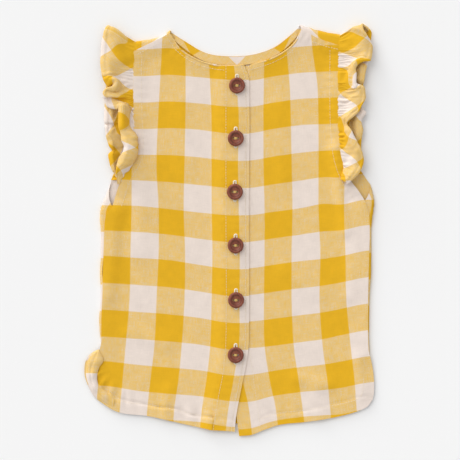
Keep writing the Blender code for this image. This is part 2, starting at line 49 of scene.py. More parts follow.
def placesAt(path, distances):
    # the places on a path that lie at these distances along it
    return np.column_stack([np.interp(distances, lengths(path), line) for line in path.T])


def evenly(path, cells):
    # the same path, cut into equal lengths
    return placesAt(path, np.linspace(0, lengths(path)[-1], cells + 1))


def cubic(at, knots, values):
    # cubic through the values, the slope at each knot taken from its two neighbours
    knots, values = np.asarray(knots, float), np.asarray(values, float)
    before, after = np.r_[0, np.arange(len(knots) - 1)], np.r_[np.arange(1, len(knots)), len(knots) - 1]
    rise = values[after] - values[before]
    slope = rise / (knots[after] - knots[before]).reshape(-1, *[1] * (values.ndim - 1))
    at = np.asarray(at, float)
    k = np.clip(np.searchsorted(knots, at, side="right") - 1, 0, len(knots) - 2)
    span = knots[k + 1] - knots[k]
    f = (at - knots[k]) / span
    if values.ndim > 1:
        span, f = span[..., None], f[..., None]
    f = np.clip(f, 0, 1)
    return ((2 * f**3 - 3 * f**2 + 1) * values[k] + (f**3 - 2 * f**2 + f) * span * slope[k]
            + (3 * f**2 - 2 * f**3) * values[k + 1] + (f**3 - f**2) * span * slope[k + 1])


def smoothPath(points, cells):
    # a cubic through given points, cut into equal lengths
    points = np.array(points, float)
    chord = lengths(points)
    return evenly(cubic(np.linspace(0, chord[-1], 30 * len(points)), chord, points), cells)


def joined(*paths):
    # paths end to end; each starts where the one before it ends
    return np.vstack([paths[0]] + [path[1:] for path in paths[1:]])


def moved(points, dx):
    # the same line, further to the right
    return [(x + dx, y) for x, y in points]


def stretchedBetween(left, right, bottom, top):
    # Coons patch: the mean of the two rulings, less the flat patch through the corners
    v = np.linspace(0, 1, len(left))[:, None, None]
    u = np.linspace(0, 1, len(bottom))[None, :, None]
    sides = (1 - u) * left[:, None] + u * right[:, None]
    ends = (1 - v) * bottom[None] + v * top[None]
    corners = ((1 - u) * (1 - v) * bottom[0] + u * (1 - v) * bottom[-1]
               + (1 - u) * v * top[0] + u * v * top[-1])
    return sides + ends - corners


def nearestOn(points, x, y, cells=420):
    # distance to a line, and how far along the line its nearest place is
    line = smoothPath(points, cells)
    gaps = np.hypot(x.reshape(-1, 1) - line[:, 0], y.reshape(-1, 1) - line[:, 1])
    return gaps.min(axis=1).reshape(x.shape), lengths(line)[gaps.argmin(axis=1)].reshape(x.shape)


def easeDown(distance, width):
    # 1 at the edge, falling smoothly to 0 at the width
    f = np.clip(1 - distance / width, 0, 1)
    return f * f * (3 - 2 * f)


# ---- meshes
def gridFaces(rows, columns):
    # the square faces of a grid of points
    index = np.arange(rows * columns).reshape(rows, columns)
    return np.stack([index[:-1, :-1], index[:-1, 1:], index[1:, 1:], index[1:, :-1]], axis=-1).reshape(-1, 4)


def ringFaces(rings, sides):
    # the faces between rings of points, each ring joined to the next
    index = np.arange(rings * sides).reshape(rings, sides)
    after = np.roll(index, -1, axis=1)
    return np.stack([index[:-1], index[1:], after[1:], after[:-1]], axis=-1).reshape(-1, 4).tolist()


def makePiece(name, points, faces, material, slot, maps=None):
    # points in mm; maps holds a value pair for each point, by the name of its UV map
    mesh = bpy.data.meshes.new(name)
    mesh.from_pydata((np.asarray(points).reshape(-1, 3) * mm).tolist(), [], [list(f) for f in faces])
    corners = np.empty(len(mesh.loops), int)
    mesh.loops.foreach_get("vertex_index", corners)
    for title, pairs in (maps or {}).items():
        layer = mesh.uv_layers.new(name=title)
        layer.data.foreach_set("uv", np.asarray(pairs).reshape(-1, 2)[corners].ravel())
    mesh.shade_smooth()
    mesh.materials.append(material)
    piece = bpy.data.objects.new(name, mesh)
    bpy.context.scene.collection.objects.link(piece)
    return piece


def giveWall(piece, thickness):
    # the sheet is thickened both ways; an edge used by one face only is a cut edge and stays crisp
    used = np.empty(len(piece.data.loops), int)
    piece.data.loops.foreach_get("edge_index", used)
    piece.data.edges.foreach_set("use_edge_sharp", np.bincount(used, minlength=len(piece.data.edges)) == 1)
    layer = piece.modifiers.new("wall", "SOLIDIFY")
    layer.thickness, layer.offset = thickness * mm, 0
    return piece


# ---- shader nodes
class Wire:
    # a node's output; + - * / on it add Math nodes
    def __init__(self, shade, socket):
        self.shade, self.socket = shade, socket

    def sum(self, kind, a, b=0.0):
        return self.shade.node("ShaderNodeMath", {"operation": kind}, {0: a, 1: b})

    def __add__(self, other): return self.sum("ADD", self, other)
    def __radd__(self, other): return self.sum("ADD", other, self)
    def __sub__(self, other): return self.sum("SUBTRACT", self, other)
    def __rsub__(self, other): return self.sum("SUBTRACT", other, self)
    def __mul__(self, other): return self.sum("MULTIPLY", self, other)
    def __rmul__(self, other): return self.sum("MULTIPLY", other, self)
    def __truediv__(self, other): return self.sum("DIVIDE", self, other)
    def sine(self): return self.sum("SINE", self)
    def size(self): return self.sum("ABSOLUTE", self)
    def least(self, other): return self.sum("MINIMUM", self, other)
    def most(self, other): return self.sum("MAXIMUM", self, other)
    def within(self): return self.least(1.0).most(0.0)
    def root(self): return self.sum("SQRT", self)
    def power(self): return self.sum("EXPONENT", self)


class Shade:
    # one material; node() adds any node: its settings first, then the values or wires of its sockets
    def __init__(self, name, **fixed):
        self.material = bpy.data.materials.new(name)
        self.material.use_nodes = True
        self.tree = self.material.node_tree
        self.skin = self.tree.nodes["Principled BSDF"]
        for title, value in fixed.items():
            self.skin.inputs[title.replace("_", " ")].default_value = value

    def node(self, kind, settings=None, values=None, output=0):
        made = self.tree.nodes.new(kind)
        for title, value in (settings or {}).items():
            if title == "stops":
                ramp = made.color_ramp
                while len(ramp.elements) < len(value):
                    ramp.elements.new(0.5)
                for element, (place, colour) in zip(ramp.elements, value):
                    element.position, element.color = place, (*colour, 1)
            else:
                setattr(made, title, value)
        for title, value in (values or {}).items():
            if isinstance(value, Wire):
                self.tree.links.new(value.socket, made.inputs[title])
            else:
                made.inputs[title].default_value = value
        return Wire(self, made.outputs[output])

    def feed(self, title, wire):
        self.tree.links.new(wire.socket, self.skin.inputs[title])

    def pair(self, mapName):
        # the two numbers of a UV map
        whole = self.node("ShaderNodeUVMap", {"uv_map": mapName})
        split = self.node("ShaderNodeSeparateXYZ", values={0: whole})
        return split, Wire(self, split.socket.node.outputs[1])

    def spot(self):
        # the place on the object, in metres
        return self.node("ShaderNodeTexCoord", output="Object")

    def vector(self, x, y, z=0.0):
        return self.node("ShaderNodeCombineXYZ", values={0: x, 1: y, 2: z})

    def noise(self, place, scale, detail=2.0):
        return self.node("ShaderNodeTexNoise", {"noise_dimensions": "3D"},
                         {"Vector": place, "Scale": scale, "Detail": detail})

    def tinted(self, colour, wire):
        # a colour darkened or lightened by a number
        grey = self.vector(wire, wire, wire)
        return self.node("ShaderNodeVectorMath", {"operation": "MULTIPLY"}, {0: colour, 1: grey})

    def raised(self, height, strength, distance):
        return self.node("ShaderNodeBump", values={"Height": height, "Strength": strength,
                                                   "Distance": distance})


gingham = {
    "white": (0.800, 0.692, 0.618),
    "light": (0.785, 0.522, 0.146),
    "deep": (0.760, 0.418, 0.009),
    "edge": 12.0,                   # how sharply a stripe starts
    "wander": 0.03,                 # how far its edge strays, in checks
    "threads": 56,                  # threads in one check
    "overUnder": 3.0,               # how sharply one thread ends and the other starts
    "yarns": (44.0, 3.0),           # uneven yarns in one check: across them and along them
    "weave": 0.38,                  # how much the single threads show
    "streak": 0.68,                 # how much uneven yarns show where the two colours mix
    "tone": (0.805, 0.12, 0.15),    # brightness: the least, what the yarns add, what the mottle adds
    "mottle": 120.0,
    "relief": 0.5, "reliefDepth": 0.00025, "reliefShares": (0.25, 0.5),
    "roughness": 0.82, "sheen": 0.12, "sheenRoughness": 0.5, "gloss": 0.25,
}


def ginghamMaterial(name, spec):
    # a stripe is where the sine of pi times the check number is above 0; a check is yellow in the warp,
    # in the weft, in both or in neither, the threads of the two take turns on top, and uneven yarns show
    # as short streaks both ways
    shade = Shade(name, Roughness=spec["roughness"], Sheen_Weight=spec["sheen"],
                  Sheen_Roughness=spec["sheenRoughness"], Specular_IOR_Level=spec["gloss"])
    across, along = shade.pair("cloth")
    beside, lengthwise = spec["yarns"]
    warpYarn = shade.noise(shade.vector(across * beside, along * lengthwise), 1.0)
    weftYarn = shade.noise(shade.vector(across * lengthwise, along * beside, 5.0), 1.0)
    warp = (((across + (weftYarn - 0.5) * spec["wander"]) * pi).sine() * spec["edge"] + 0.5).within()
    weft = (((along + (warpYarn - 0.5) * spec["wander"]) * pi).sine() * spec["edge"] + 0.5).within()
    crossing = (across * (pi * spec["threads"])).sine() * (along * (pi * spec["threads"])).sine()
    onTop = (crossing * spec["overUnder"] + 0.5).within()
    mean = (warp + weft) * 0.5
    seen = weft + (warp - weft) * onTop
    mixedYarn = 1.0 - (mean * 2.0 - 1.0).size()
    tone = mean + (seen - mean) * spec["weave"] + (warpYarn + weftYarn - 1.0) * mixedYarn * spec["streak"]
    colour = shade.node("ShaderNodeValToRGB", {"stops": [(0.0, spec["white"]), (0.5, spec["light"]),
                                                         (1.0, spec["deep"])]}, {0: tone})
    least, byYarns, byMottle = spec["tone"]
    mottle = shade.noise(shade.spot(), spec["mottle"], 3.0)
    brightness = least + (warpYarn + weftYarn) * byYarns + mottle * byMottle
    shade.feed("Base Color", shade.tinted(colour, brightness))
    ofThreads, ofYarns = spec["reliefShares"]
    relief = crossing.size() * ofThreads + (warpYarn + weftYarn) * ofYarns
    shade.feed("Normal", shade.raised(relief, spec["relief"], spec["reliefDepth"]))
    return shade.material


def threadMaterial(name, colour):
    # spun thread: its tone and its relief follow one fine noise
    shade = Shade(name, Roughness=0.6, Sheen_Weight=0.3)
    twist = shade.noise(shade.spot(), 900.0, 1.0)
    shade.feed("Base Color", shade.tinted(colour, 0.85 + twist * 0.3))
    shade.feed("Normal", shade.raised(twist, 0.4, 0.0001))
    return shade.material


clothMaterial = ginghamMaterial("yellowGingham", gingham)
threadPale = threadMaterial("paleThread", (0.80, 0.70, 0.55))
threadCream = threadMaterial("creamThread", (0.82, 0.74, 0.60))
threadMustard = threadMaterial("mustardThread", (0.62, 0.40, 0.11))
# the slit's dark colour is painted shade, made with the thread shader
slitShadeMaterial = threadMaterial("paintedSlitShade", (0.10, 0.05, 0.025))
print("materials made")

# ---- levels of the layers and the outlines of the laid blouse
wall = 0.55                   # cloth as it is seen
bandWall = 1.0                # doubled cloth of the button bands
diagonal = 25.0 * 2**0.5      # of one check of the cloth
levels = {"back": 0.5, "front": 1.85, "underBand": 2.15, "underSeam": 2.3, "overBand": 4.1, "overSeam": 4.25,
          "facing": 1.8, "armhole": 3.25, "neck": 2.9, "shoulder": 4.15}

overlap = {                   # outline of the over front, the wearer's right
    "corner": [(-129, -149.5), (-134.4, -137), (-134.8, -126), (-132.5, -119), (-127.5, -115),
               (-121.5, -112)],
    "side": [(-119.3, -104), (-119.3, -90), (-118.8, -65), (-117.0, -18), (-115.0, 14), (-109.3, 21.5)],
    "armhole": [(-103, 41.5), (-98, 53.5), (-91, 63), (-87.5, 75.5), (-88.5, 88.5), (-89.5, 100),
                (-89.5, 159)],
    "shoulder": [(-89.5, 166.3), (-76.5, 172.8), (-63, 179.3), (-55.5, 183.2)],
    "neck": [(-46, 168.8), (-30.5, 158.8), (-14, 153.8), (-4.5, 152.8)],
    "stitching": [(-16.5, -186), (-11, -152), (-7.5, -135), (-4.5, -102), (-4.5, 20), (-4.5, 153)],
    "edge": [(5, -187.5), (6, -174), (12, -142), (16, -122), (18, -102), (18, 20), (18, 140), (13.5, 154)],
    "hem": [(-129, -149.5), (-118, -161), (-102.5, -169.5), (-75, -173), (-41.5, -180.5), (-16.5, -186)],
    "bandHem": [(-16.5, -186), (-5, -186.5), (5, -187.5)],
    "bandNeck": [(-4.5, 153), (5, 153), (13.5, 154)],
    "seamCells": (6, 9),
    # soft folds: from (x, y) to (x, y), height, half width
    "folds": [
        (-105, 15, -112, -60, 1.2, 7), (-80, 60, -84, -20, 1.0, 9), (-60, -176, -56, -150, 1.0, 8),
        (-45, 120, -40, 60, 0.7, 10), (-95, -95, -60, -105, 0.9, 8),
    ],
    "hemDepth": 1.0,          # how much of the hem's relief shows
    "hemLine": [(-121, -112), (-127.5, -115), (-132.5, -119), (-134.8, -126), (-134.4, -137), (-129, -149.5),
                (-118, -161), (-102.5, -169.5), (-75, -173), (-41.5, -180.5), (-16.5, -186)],
    # stitch lines that pucker the cloth: line, height, length of a pucker, reach
    "puckers": [
        ([(-81.6, 168), (-81.8, 120), (-81, 95), (-80, 76), (-83.5, 62), (-90.5, 50), (-95, 39),
          (-100.5, 22)],
         0.16, 6.5, 6),
        ([(-16.5, -186), (-11, -152), (-7.5, -135), (-4.5, -102), (-4.5, 20), (-4.5, 153)], 0.12, 7.5, 5),
        ([(-55, 178), (-46, 164), (-30.5, 154.5), (-14, 149.5), (-4.5, 148.8)], 0.14, 6, 4),
        ([(-89.5, 163), (-76.5, 169), (-63, 176), (-55.5, 179)], 0.15, 7, 5),
    ],
    # lines of the check, left to right, at the heights in the first row
    "columnHeights": [-190, -164, -139, -106, -64, -22, 20, 62, 112, 162, 190],
    "columns": [
        (-104, -101.8, -99.6, -96.6, -93.1, -92.2, -91.2, -91.0, -90.1, -89.2, -89),
        (-78, -76.3, -73.6, -69.8, -67.9, -66.0, -66.0, -68.0, -66.0, -63.3, -62),
        (-53, -51.2, -47.6, -44.5, -41.9, -41.4, -42.7, -41.9, -41.0, -40.9, -41),
        (-28, -25.3, -21.4, -17.8, -16.6, -15.9, -16.5, -16.7, -16.9, -19.5, -21),
        (-4, -0.8, 3.7, 8.8, 9.2, 9.5, 8.6, 7.9, 8.3, 3.3, 1),
    ],
    "firstColumn": 1,
    # and top to bottom, at the places in the first row
    "rowPlaces": [-135, -113, -85, -57, -29, -1, 20],
    "rows": [
        (170, 170, 168, 169.5, 167, 165, 165), (97, 96.5, 94.2, 95.1, 93.7, 90, 90),
        (24, 23.5, 22.6, 19.8, 16.6, 14.1, 14), (-23, -23.9, -25.8, -27.7, -32, -36, -36),
        (-98, -99.2, -101.1, -103.4, -106.2, -110.9, -111),
        (-167, -168, -173.6, -176.4, -178.3, -182.5, -183),
    ],
    "rowNumbers": [0, 3, 6, 8, 11, 14],
}
underlap = {                  # outline of the under front, the wearer's left
    "corner": [(133.5, -157), (134.5, -150), (134.5, -139), (132.5, -124)],
    "side": [(129.4, -112), (128.9, -97), (128.9, -65), (130.0, -18), (130.6, 3), (129.7, 15), (126.3, 27)],
    "armhole": [(119.5, 37.5), (113, 46), (107.5, 58), (103.5, 74.5), (101.5, 102), (101.5, 158)],
    "shoulder": [(67, 187.3), (82, 178.8), (102.7, 171.8)],
    "neck": [(19, 153.5), (37.5, 159), (51.5, 166.5), (61.5, 175.5)],
    "stitching": [(30, -186.5), (27.5, -167), (23, -135), (19, -102), (19, 20), (19, 153.5)],
    "edge": [(9, -191.5), (5.5, -167), (0.5, -135), (-3.5, -102), (-3.5, 20), (-3.5, 153)],
    "hem": [(30, -186.5), (47, -181), (70.5, -178.5), (103, -173), (127, -165), (133.5, -157)],
    "bandHem": [(9, -191.5), (20, -190.5), (30, -186.5)],
    "bandNeck": [(-3.5, 153), (8, 152), (19, 153.5)],
    "seamCells": (4, 10),
    "folds": [
        (98, 76, 108, 0, 2.2, 6), (118, 20, 112, -60, 1.2, 8), (62, -138, 92, -144, 1.4, 7),
        (84, -176, 80, -150, 1.1, 8), (120, -120, 124, -152, 1.0, 6), (45, 115, 50, 50, 0.8, 10),
        (50, -40, 85, -60, 0.8, 9),
    ],
    "hemDepth": 0.45,
    "hemLine": [(30, -186.5), (47, -181), (70.5, -178.5), (103, -173), (127, -165)],
    "puckers": [
        ([(93.5, 168), (93.4, 120), (94, 95), (96, 72), (100, 56), (106, 43), (112.5, 34), (118.5, 24)],
         0.16, 6.5, 6),
        ([(30, -186.5), (27.5, -167), (23, -135), (19, -102), (19, 20), (19, 153.5)], 0.10, 7.5, 5),
        ([(19, 149), (37.5, 154.6), (51.5, 162), (61.5, 171), (67, 183)], 0.14, 6, 4),
        ([(66, 183), (81, 174.5), (102, 168)], 0.18, 7, 5),
    ],
    "columnHeights": [-190, -164, -139, -106, -64, -22, 20, 62, 112, 137, 162, 190],
    "columns": [
        (21, 17.7, 12.2, 7.5, 7.0, 7.5, 7.5, 6.6, 6.5, 7.0, 7.3, 7),
        (46, 42.7, 37.3, 32.6, 32.1, 32.6, 32.6, 31.7, 31.6, 32.0, 32.3, 32),
        (71, 67.8, 64.2, 59.6, 57.8, 57.8, 58.6, 57.8, 56.8, 55.8, 53.6, 51),
        (96, 93.5, 91.0, 86.5, 83.8, 84.6, 82.9, 82.9, 82.7, 81.7, 78.0, 75),
        (120, 118.1, 116.3, 112.5, 108.7, 107.9, 106.5, 107.4, 107.4, 106.0, 102.8, 100),
    ],
    "firstColumn": -1,
    "rowPlaces": [-4, 20, 40, 67, 86, 105, 123, 137],
    "rows": [
        (164, 164, 167.5, 171, 172, 172.5, 173, 173), (90.5, 90.5, 94.2, 98, 98.8, 99.5, 100, 100),
        (14.2, 14.2, 17, 20.7, 24.5, 24.1, 28, 29), (-35.2, -35.2, -32.3, -28.6, -26.7, -23.8, -19.7, -18),
        (-109.5, -109.5, -107.6, -104, -101.5, -97.4, -93.7, -92),
        (-186, -184.2, -177.8, -173.7, -172.2, -171, -167, -165),
    ],
    "rowNumbers": [0, 3, 6, 8, 11, 14],
}

backPanel = {
    "foldLeft": [(-102, 66), (-108.5, 51.5), (-115, 34), (-120, 22), (-121, 12), (-120, -11), (-121, -39),
                 (-120.5, -61), (-122, -86), (-120.5, -103), (-120, -112), (-118, -135), (-113, -158)],
    "foldRight": [(123, 70), (127, 56), (131.5, 43), (135, 29), (134.5, 19), (132.5, 3), (132.5, -37),
                  (131, -65), (130.5, -97), (131, -112), (130.5, -135), (127, -156)],
    "topLeft": [(-93.5, 175.5), (-81.5, 177), (-64, 180.5), (-55.5, 186.5)],
    "topRight": [(66, 191.5), (82.5, 186.5), (105.5, 182)],
    "neck": [(-54, 184), (-39, 174.5), (-21.5, 165), (-1, 162), (21, 163.5), (41, 170), (56, 181),
             (64.5, 189)],
    "lowLeft": [(-109, -158), (-115.5, -138), (-117, -114)],
    "lowRight": [(124, -153), (127, -140), (128, -125)],
    "hem": [(-109, -158), (-90, -166), (-60, -172), (5, -180), (70, -173), (105, -165), (124, -153)],
    "armLeft": [(-118, 34), (-108, 50), (-99, 64), (-93, 80), (-91, 100), (-90, 140), (-90.3, 172)],
    "armRight": [(131, 43), (122, 56), (114, 68), (107, 84), (104, 102), (102.5, 145), (103.4, 178)],
    "rollHeights": (-115, -60, -20, 22, 50),
    "roll": (1.1, 1.1, 1.3, 1.6, 0.5),
    "shoulderRoll": 1.6,
    "underSeam": 0.8, "leastFlap": 1.8,     # how far the cloth beyond a roll reaches under its seam
    "middle": 5, "neckHalf": 57,
    # its check: the columns start further left and grow narrower towards the shoulders
    "firstColumn": (-101, 4.2), "columnWidth": (26.6, 3.16), "upperPart": (60, 125),
    # the rows tilt, and bend down beside the neck
    "rowNumber": 6, "rowAt": 23.5, "rowHeight": 24.6, "tilt": (4.5, -113, 236),
    "bend": 11.5, "bendOut": (0.46, 77, -12, 20), "bendRight": (7, 60), "bendPart": (90, 85),
}


def checkNumbers(spec, x, y):
    # across and along the weave, in checks: between two lines of the check it grows evenly by the
    # number of checks from one to the other, and it goes on evenly outside the last line
    def number(value, lines, numbers):
        total = np.full(value.shape, float(numbers[0]))
        last = len(numbers) - 2
        for k in range(last + 1):
            f = (value - lines[k]) / (lines[k + 1] - lines[k])
            f = np.clip(f, 0 if k else -np.inf, np.inf if k == last else 1)
            total += f * (numbers[k + 1] - numbers[k])
        return total
    columns = [cubic(y, spec["columnHeights"], line) for line in spec["columns"]]
    rows = [-cubic(x, spec["rowPlaces"], line) for line in spec["rows"]]
    first = spec["firstColumn"]
    return np.stack([number(x, columns, range(first, first + len(columns))),
                     number(-y, rows, spec["rowNumbers"])], axis=-1)


def onBias(run, out):
    # check numbers of a strip cut on the diagonal, from the places along it and across it
    return np.stack([(run + out) / diagonal, (run - out) / diagonal], axis=-1)


hem = {"width": 11.0, "wander": 1.1, "rise": 0.6, "slope": 1.5, "groove": 1.0, "grooveWidth": 0.95,
       "pucker": 1.0, "puckerLength": 12.5, "puckerReach": 7.0, "fade": 14.0}
edgeReach = {"side": 20, "armhole": 16, "shoulder": 18, "neck": 14, "stitching": 15}


def frontHeight(x, y, spec, bandLevel):
    # the layer lies on the back, rises to each edge (the largest rise wins softly) and carries soft folds,
    # each a ridge as high as a bell curve of the distance to its line
    rolled = levels["back"] + 2 * np.interp(y, backPanel["rollHeights"], backPanel["roll"]) + 0.45
    edgeLevels = {"side": rolled, "stitching": bandLevel, **levels}
    lifts = [np.maximum(edgeLevels[edge] - levels["front"], 0)
             * easeDown(nearestOn(spec[edge], x, y, 120)[0], reach) for edge, reach in edgeReach.items()]
    z = levels["front"] + sum(lift**4 for lift in lifts) ** 0.25
    for x0, y0, x1, y1, height, halfWidth in spec["folds"]:
        run = np.array([x1 - x0, y1 - y0], float)
        t = np.clip(((x - x0) * run[0] + (y - y0) * run[1]) / (run @ run), 0, 1)
        away = np.hypot(x - x0 - t * run[0], y - y0 - t * run[1])
        z = z + height * np.exp(-(away / halfWidth) ** 2)
    # the doubled hem: higher up to its stitch line, a groove there, and puckers that fade from it; all of
    # it fades in at the start of the line
    away, along = nearestOn(spec["hemLine"], x, y)
    there = (1 - easeDown(along, hem["fade"])) * spec["hemDepth"]
    beyond = away - hem["width"] - hem["wander"] * np.sin(along / 9 + 1.5 * np.sin(along / 21))
    z = z + hem["rise"] * there * np.clip(-beyond / hem["slope"], 0, 1)
    z = z - hem["groove"] * there * np.exp(-(beyond / hem["grooveWidth"]) ** 2)
    wave = np.sin(2 * pi * along / hem["puckerLength"] + 0.22 * away + 2.2 * np.sin(along / 17))
    wave = wave * (0.6 + 0.4 * np.sin(along / 23)) * np.clip(away / 5, 0.25, 1)
    z = z + hem["pucker"] * there * wave * np.exp(-(beyond / hem["puckerReach"]) ** 2)
    # puckers beside the other stitch lines: a sine along the line that fades away from it
    for line, height, length, reach in spec["puckers"]:
        away, along = nearestOn(line, x, y)
        wave = np.sin(2 * pi * along / length + 1.7 * np.sin(along / 13))
        z = z + height * wave * np.exp(-(away / reach) ** 2)
    return np.maximum(z, levels["back"] + wall + 0.1)


fine = 8                      # cells of the cloth to one cell of the solid


def makeSheet(name, node, x, y, z, cloth, thickness, slot="gingham"):
    # a sheet of the gingham, from the grid of its places and its check numbers; node is the solid it replaces
    piece = makePiece(name, np.dstack([x, y, z]), gridFaces(*x.shape), clothMaterial, slot, {"cloth": cloth})
    if node:
        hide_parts(node)
    return giveWall(piece, thickness)


def frontGrid(spec, over):
    # the outer edge goes from the corner up the side and the armhole, the inner one up the stitch line; the
    # over front has its outer edge at the left, the under front at the right
    seam, shoulder = spec["side"], spec["shoulder"]
    tip = shoulder[0 if over else -1]
    low, high = spec["seamCells"]
    outer = joined(smoothPath(spec["corner"] + [seam[0]], low * fine), smoothPath(seam, high * fine),
                   smoothPath([seam[-1]] + spec["armhole"] + [tip], 13 * fine))
    inner = smoothPath(moved(spec["stitching"], -0.15 if over else 0.15), len(outer) - 1)
    ridge = smoothPath(shoulder, 4 * fine)
    neck = smoothPath([shoulder[-1]] + spec["neck"] if over else spec["neck"] + [shoulder[0]], 6 * fine)
    top = joined(ridge, neck) if over else joined(neck, ridge)
    left, right = (outer, inner) if over else (inner, outer)
    return stretchedBetween(left, right, smoothPath(spec["hem"], len(top) - 1), top)


def makeFront(name, node, spec, over, seamLevel):
    # the grid between its edges, raised to the height of the layer
    x, y = np.moveaxis(frontGrid(spec, over), -1, 0)
    return makeSheet(name, node, x, y, frontHeight(x, y, spec, seamLevel), checkNumbers(spec, x, y), wall)


band = {"flatPart": 0.55, "groove": 0.35, "grooveWidth": 1.1, "ripple": 0.10, "rippleLength": 1.3}


def makeBand(name, node, left, right, bottom, top, level, spec, drop=0.0):
    # flat over the first part of its width, then down to its free edge; a groove at the hem's stitch line
    # and a fine ripple all along
    grid = stretchedBetween(smoothPath(left, 26 * fine), smoothPath(right, 26 * fine),
                            smoothPath(bottom, 2 * fine), smoothPath(top, 2 * fine))
    x, y = np.moveaxis(grid, -1, 0)
    f = np.linspace(0, 1, x.shape[1])[None, :]
    z = level - drop * (1 - easeDown(np.clip(f - band["flatPart"], 0, 1), 1 - band["flatPart"])) + 0 * x
    away = y - np.interp(x, *np.array(sorted(bottom)).T)
    z = z - band["groove"] * np.exp(-((away - hem["width"]) / band["grooveWidth"]) ** 2)
    z = z + band["ripple"] * np.sin(y / band["rippleLength"] + 2 * np.sin(y / 11)) * np.sin(pi * f)
    return makeSheet(name, node, x, y, z, checkNumbers(spec, x, y), bandWall)


frontOver = makeFront("frontOver", "front_over", overlap, True, levels["overSeam"])
frontUnder = makeFront("frontUnder", "front_under", underlap, False, levels["underSeam"])
placketUnder = makeBand("placketUnder", "placket_under", underlap["edge"], moved(underlap["stitching"], 0.4),
                        underlap["bandHem"], underlap["bandNeck"], levels["underBand"], underlap)
placketOver = makeBand("placketOver", "placket_over", moved(overlap["stitching"], -0.5), overlap["edge"],
                       overlap["bandHem"], overlap["bandNeck"], levels["overBand"], overlap, 0.85)

turnedHem = {
    # inner crease and outer edge of the hem that turned outwards at the lower left corner
    "inner": [(-121.2, -111.5), (-117.4, -121), (-121.4, -127.6), (-123.4, -135.2), (-123, -141.3),
              (-121, -145.6), (-115.5, -150), (-107, -157.8)],
    "outer": [(-121.8, -111), (-127, -113.6), (-132.3, -119), (-134.6, -128), (-133.4, -139),
              (-130.6, -146.7), (-125, -155.6), (-116.8, -161.6), (-108.5, -165.8)],
    "cells": (70, 14),
    "innerLevel": 2.75, "outerLevel": 1.5, "bulge": 2.6, "waves": 0.35,
    "stitchAt": 0.55, "stitchWidth": 0.07, "stitchDepth": 0.7,
    # from the turned cloth to the cloth it belongs to, and where that cloth ends
    "shift": (-4.3, -11.2), "lowest": -164, "rightmost": -127.5, "above": -139,
}


def makeTurnedHem(spec):
    rows, columns = spec["cells"]
    inner, outer = smoothPath(spec["inner"], rows)[:, None], smoothPath(spec["outer"], rows)[:, None]
    f = np.linspace(0, 1, columns + 1)[None, :]
    x, y = np.moveaxis(inner * (1 - f[..., None]) + outer * f[..., None], -1, 0)
    taper = np.sin(pi * np.linspace(0.06, 0.97, rows + 1))[:, None] ** 0.5
    z = spec["innerLevel"] + (spec["outerLevel"] - spec["innerLevel"]) * f
    z = z + spec["bulge"] * taper * np.sin(pi * f) ** 0.7
    z = z - spec["stitchDepth"] * taper * np.exp(-((f - spec["stitchAt"]) / spec["stitchWidth"]) ** 2)
    z = z + spec["waves"] * taper * np.sin(np.linspace(0, 1, rows + 1) * 31 + 1)[:, None] * np.sin(pi * f)
    across, along = x + spec["shift"][0], np.maximum(y + spec["shift"][1], spec["lowest"])
    across = np.where(y > spec["above"], np.minimum(across, spec["rightmost"]), across)
    return makeSheet("turnedHem", None, x, y, z, checkNumbers(overlap, across, along), wall)


turnedHemPiece = makeTurnedHem(turnedHem)
print("fronts and button bands made")


# ---- the back, rolled forward over the shoulders and round the sides
def lineAt(points, across):
    # x at a height (across 1) or y at a place (across 0) along an outline
    curve = smoothPath(points, 120)
    curve = curve[np.argsort(curve[:, across])]
    return lambda value: np.interp(value, curve[:, across], curve[:, 1 - across])


def rolledOver(past, radius):
    # what lies past a fold goes half round a roll and then back: how far out it gets, and how high
    turn = np.clip(past / radius, 0, pi)
    return radius * np.sin(turn) - np.maximum(past - pi * radius, 0), radius * (1 - np.cos(turn))


def backCheck(spec, x, y):
    # its check numbers: even columns and rows, which the entries of the back narrow, tilt and bend
    start, over = spec["upperPart"]
    upper = 1 - easeDown(np.clip(y - start, 0, None), over)
    (left, leftUp), (width, narrower) = spec["firstColumn"], spec["columnWidth"]
    across = (x - left + leftUp * upper) / (width - narrower * upper)
    share, out, least, most = spec["bendOut"]
    right, over = spec["bendRight"]
    bend = (spec["bend"] + share * np.clip(np.abs(x - spec["middle"]) - out, least, most)
            + right * np.clip((x - spec["middle"]) / over, 0, 1))
    start, over = spec["bendPart"]
    tilt, tiltFrom, tiltOver = spec["tilt"]
    down = spec["rowAt"] + tilt * (x - tiltFrom) / tiltOver - y + bend * np.clip((y - start) / over, 0, 1)
    return np.stack([across, spec["rowNumber"] + down / spec["rowHeight"]], axis=-1)


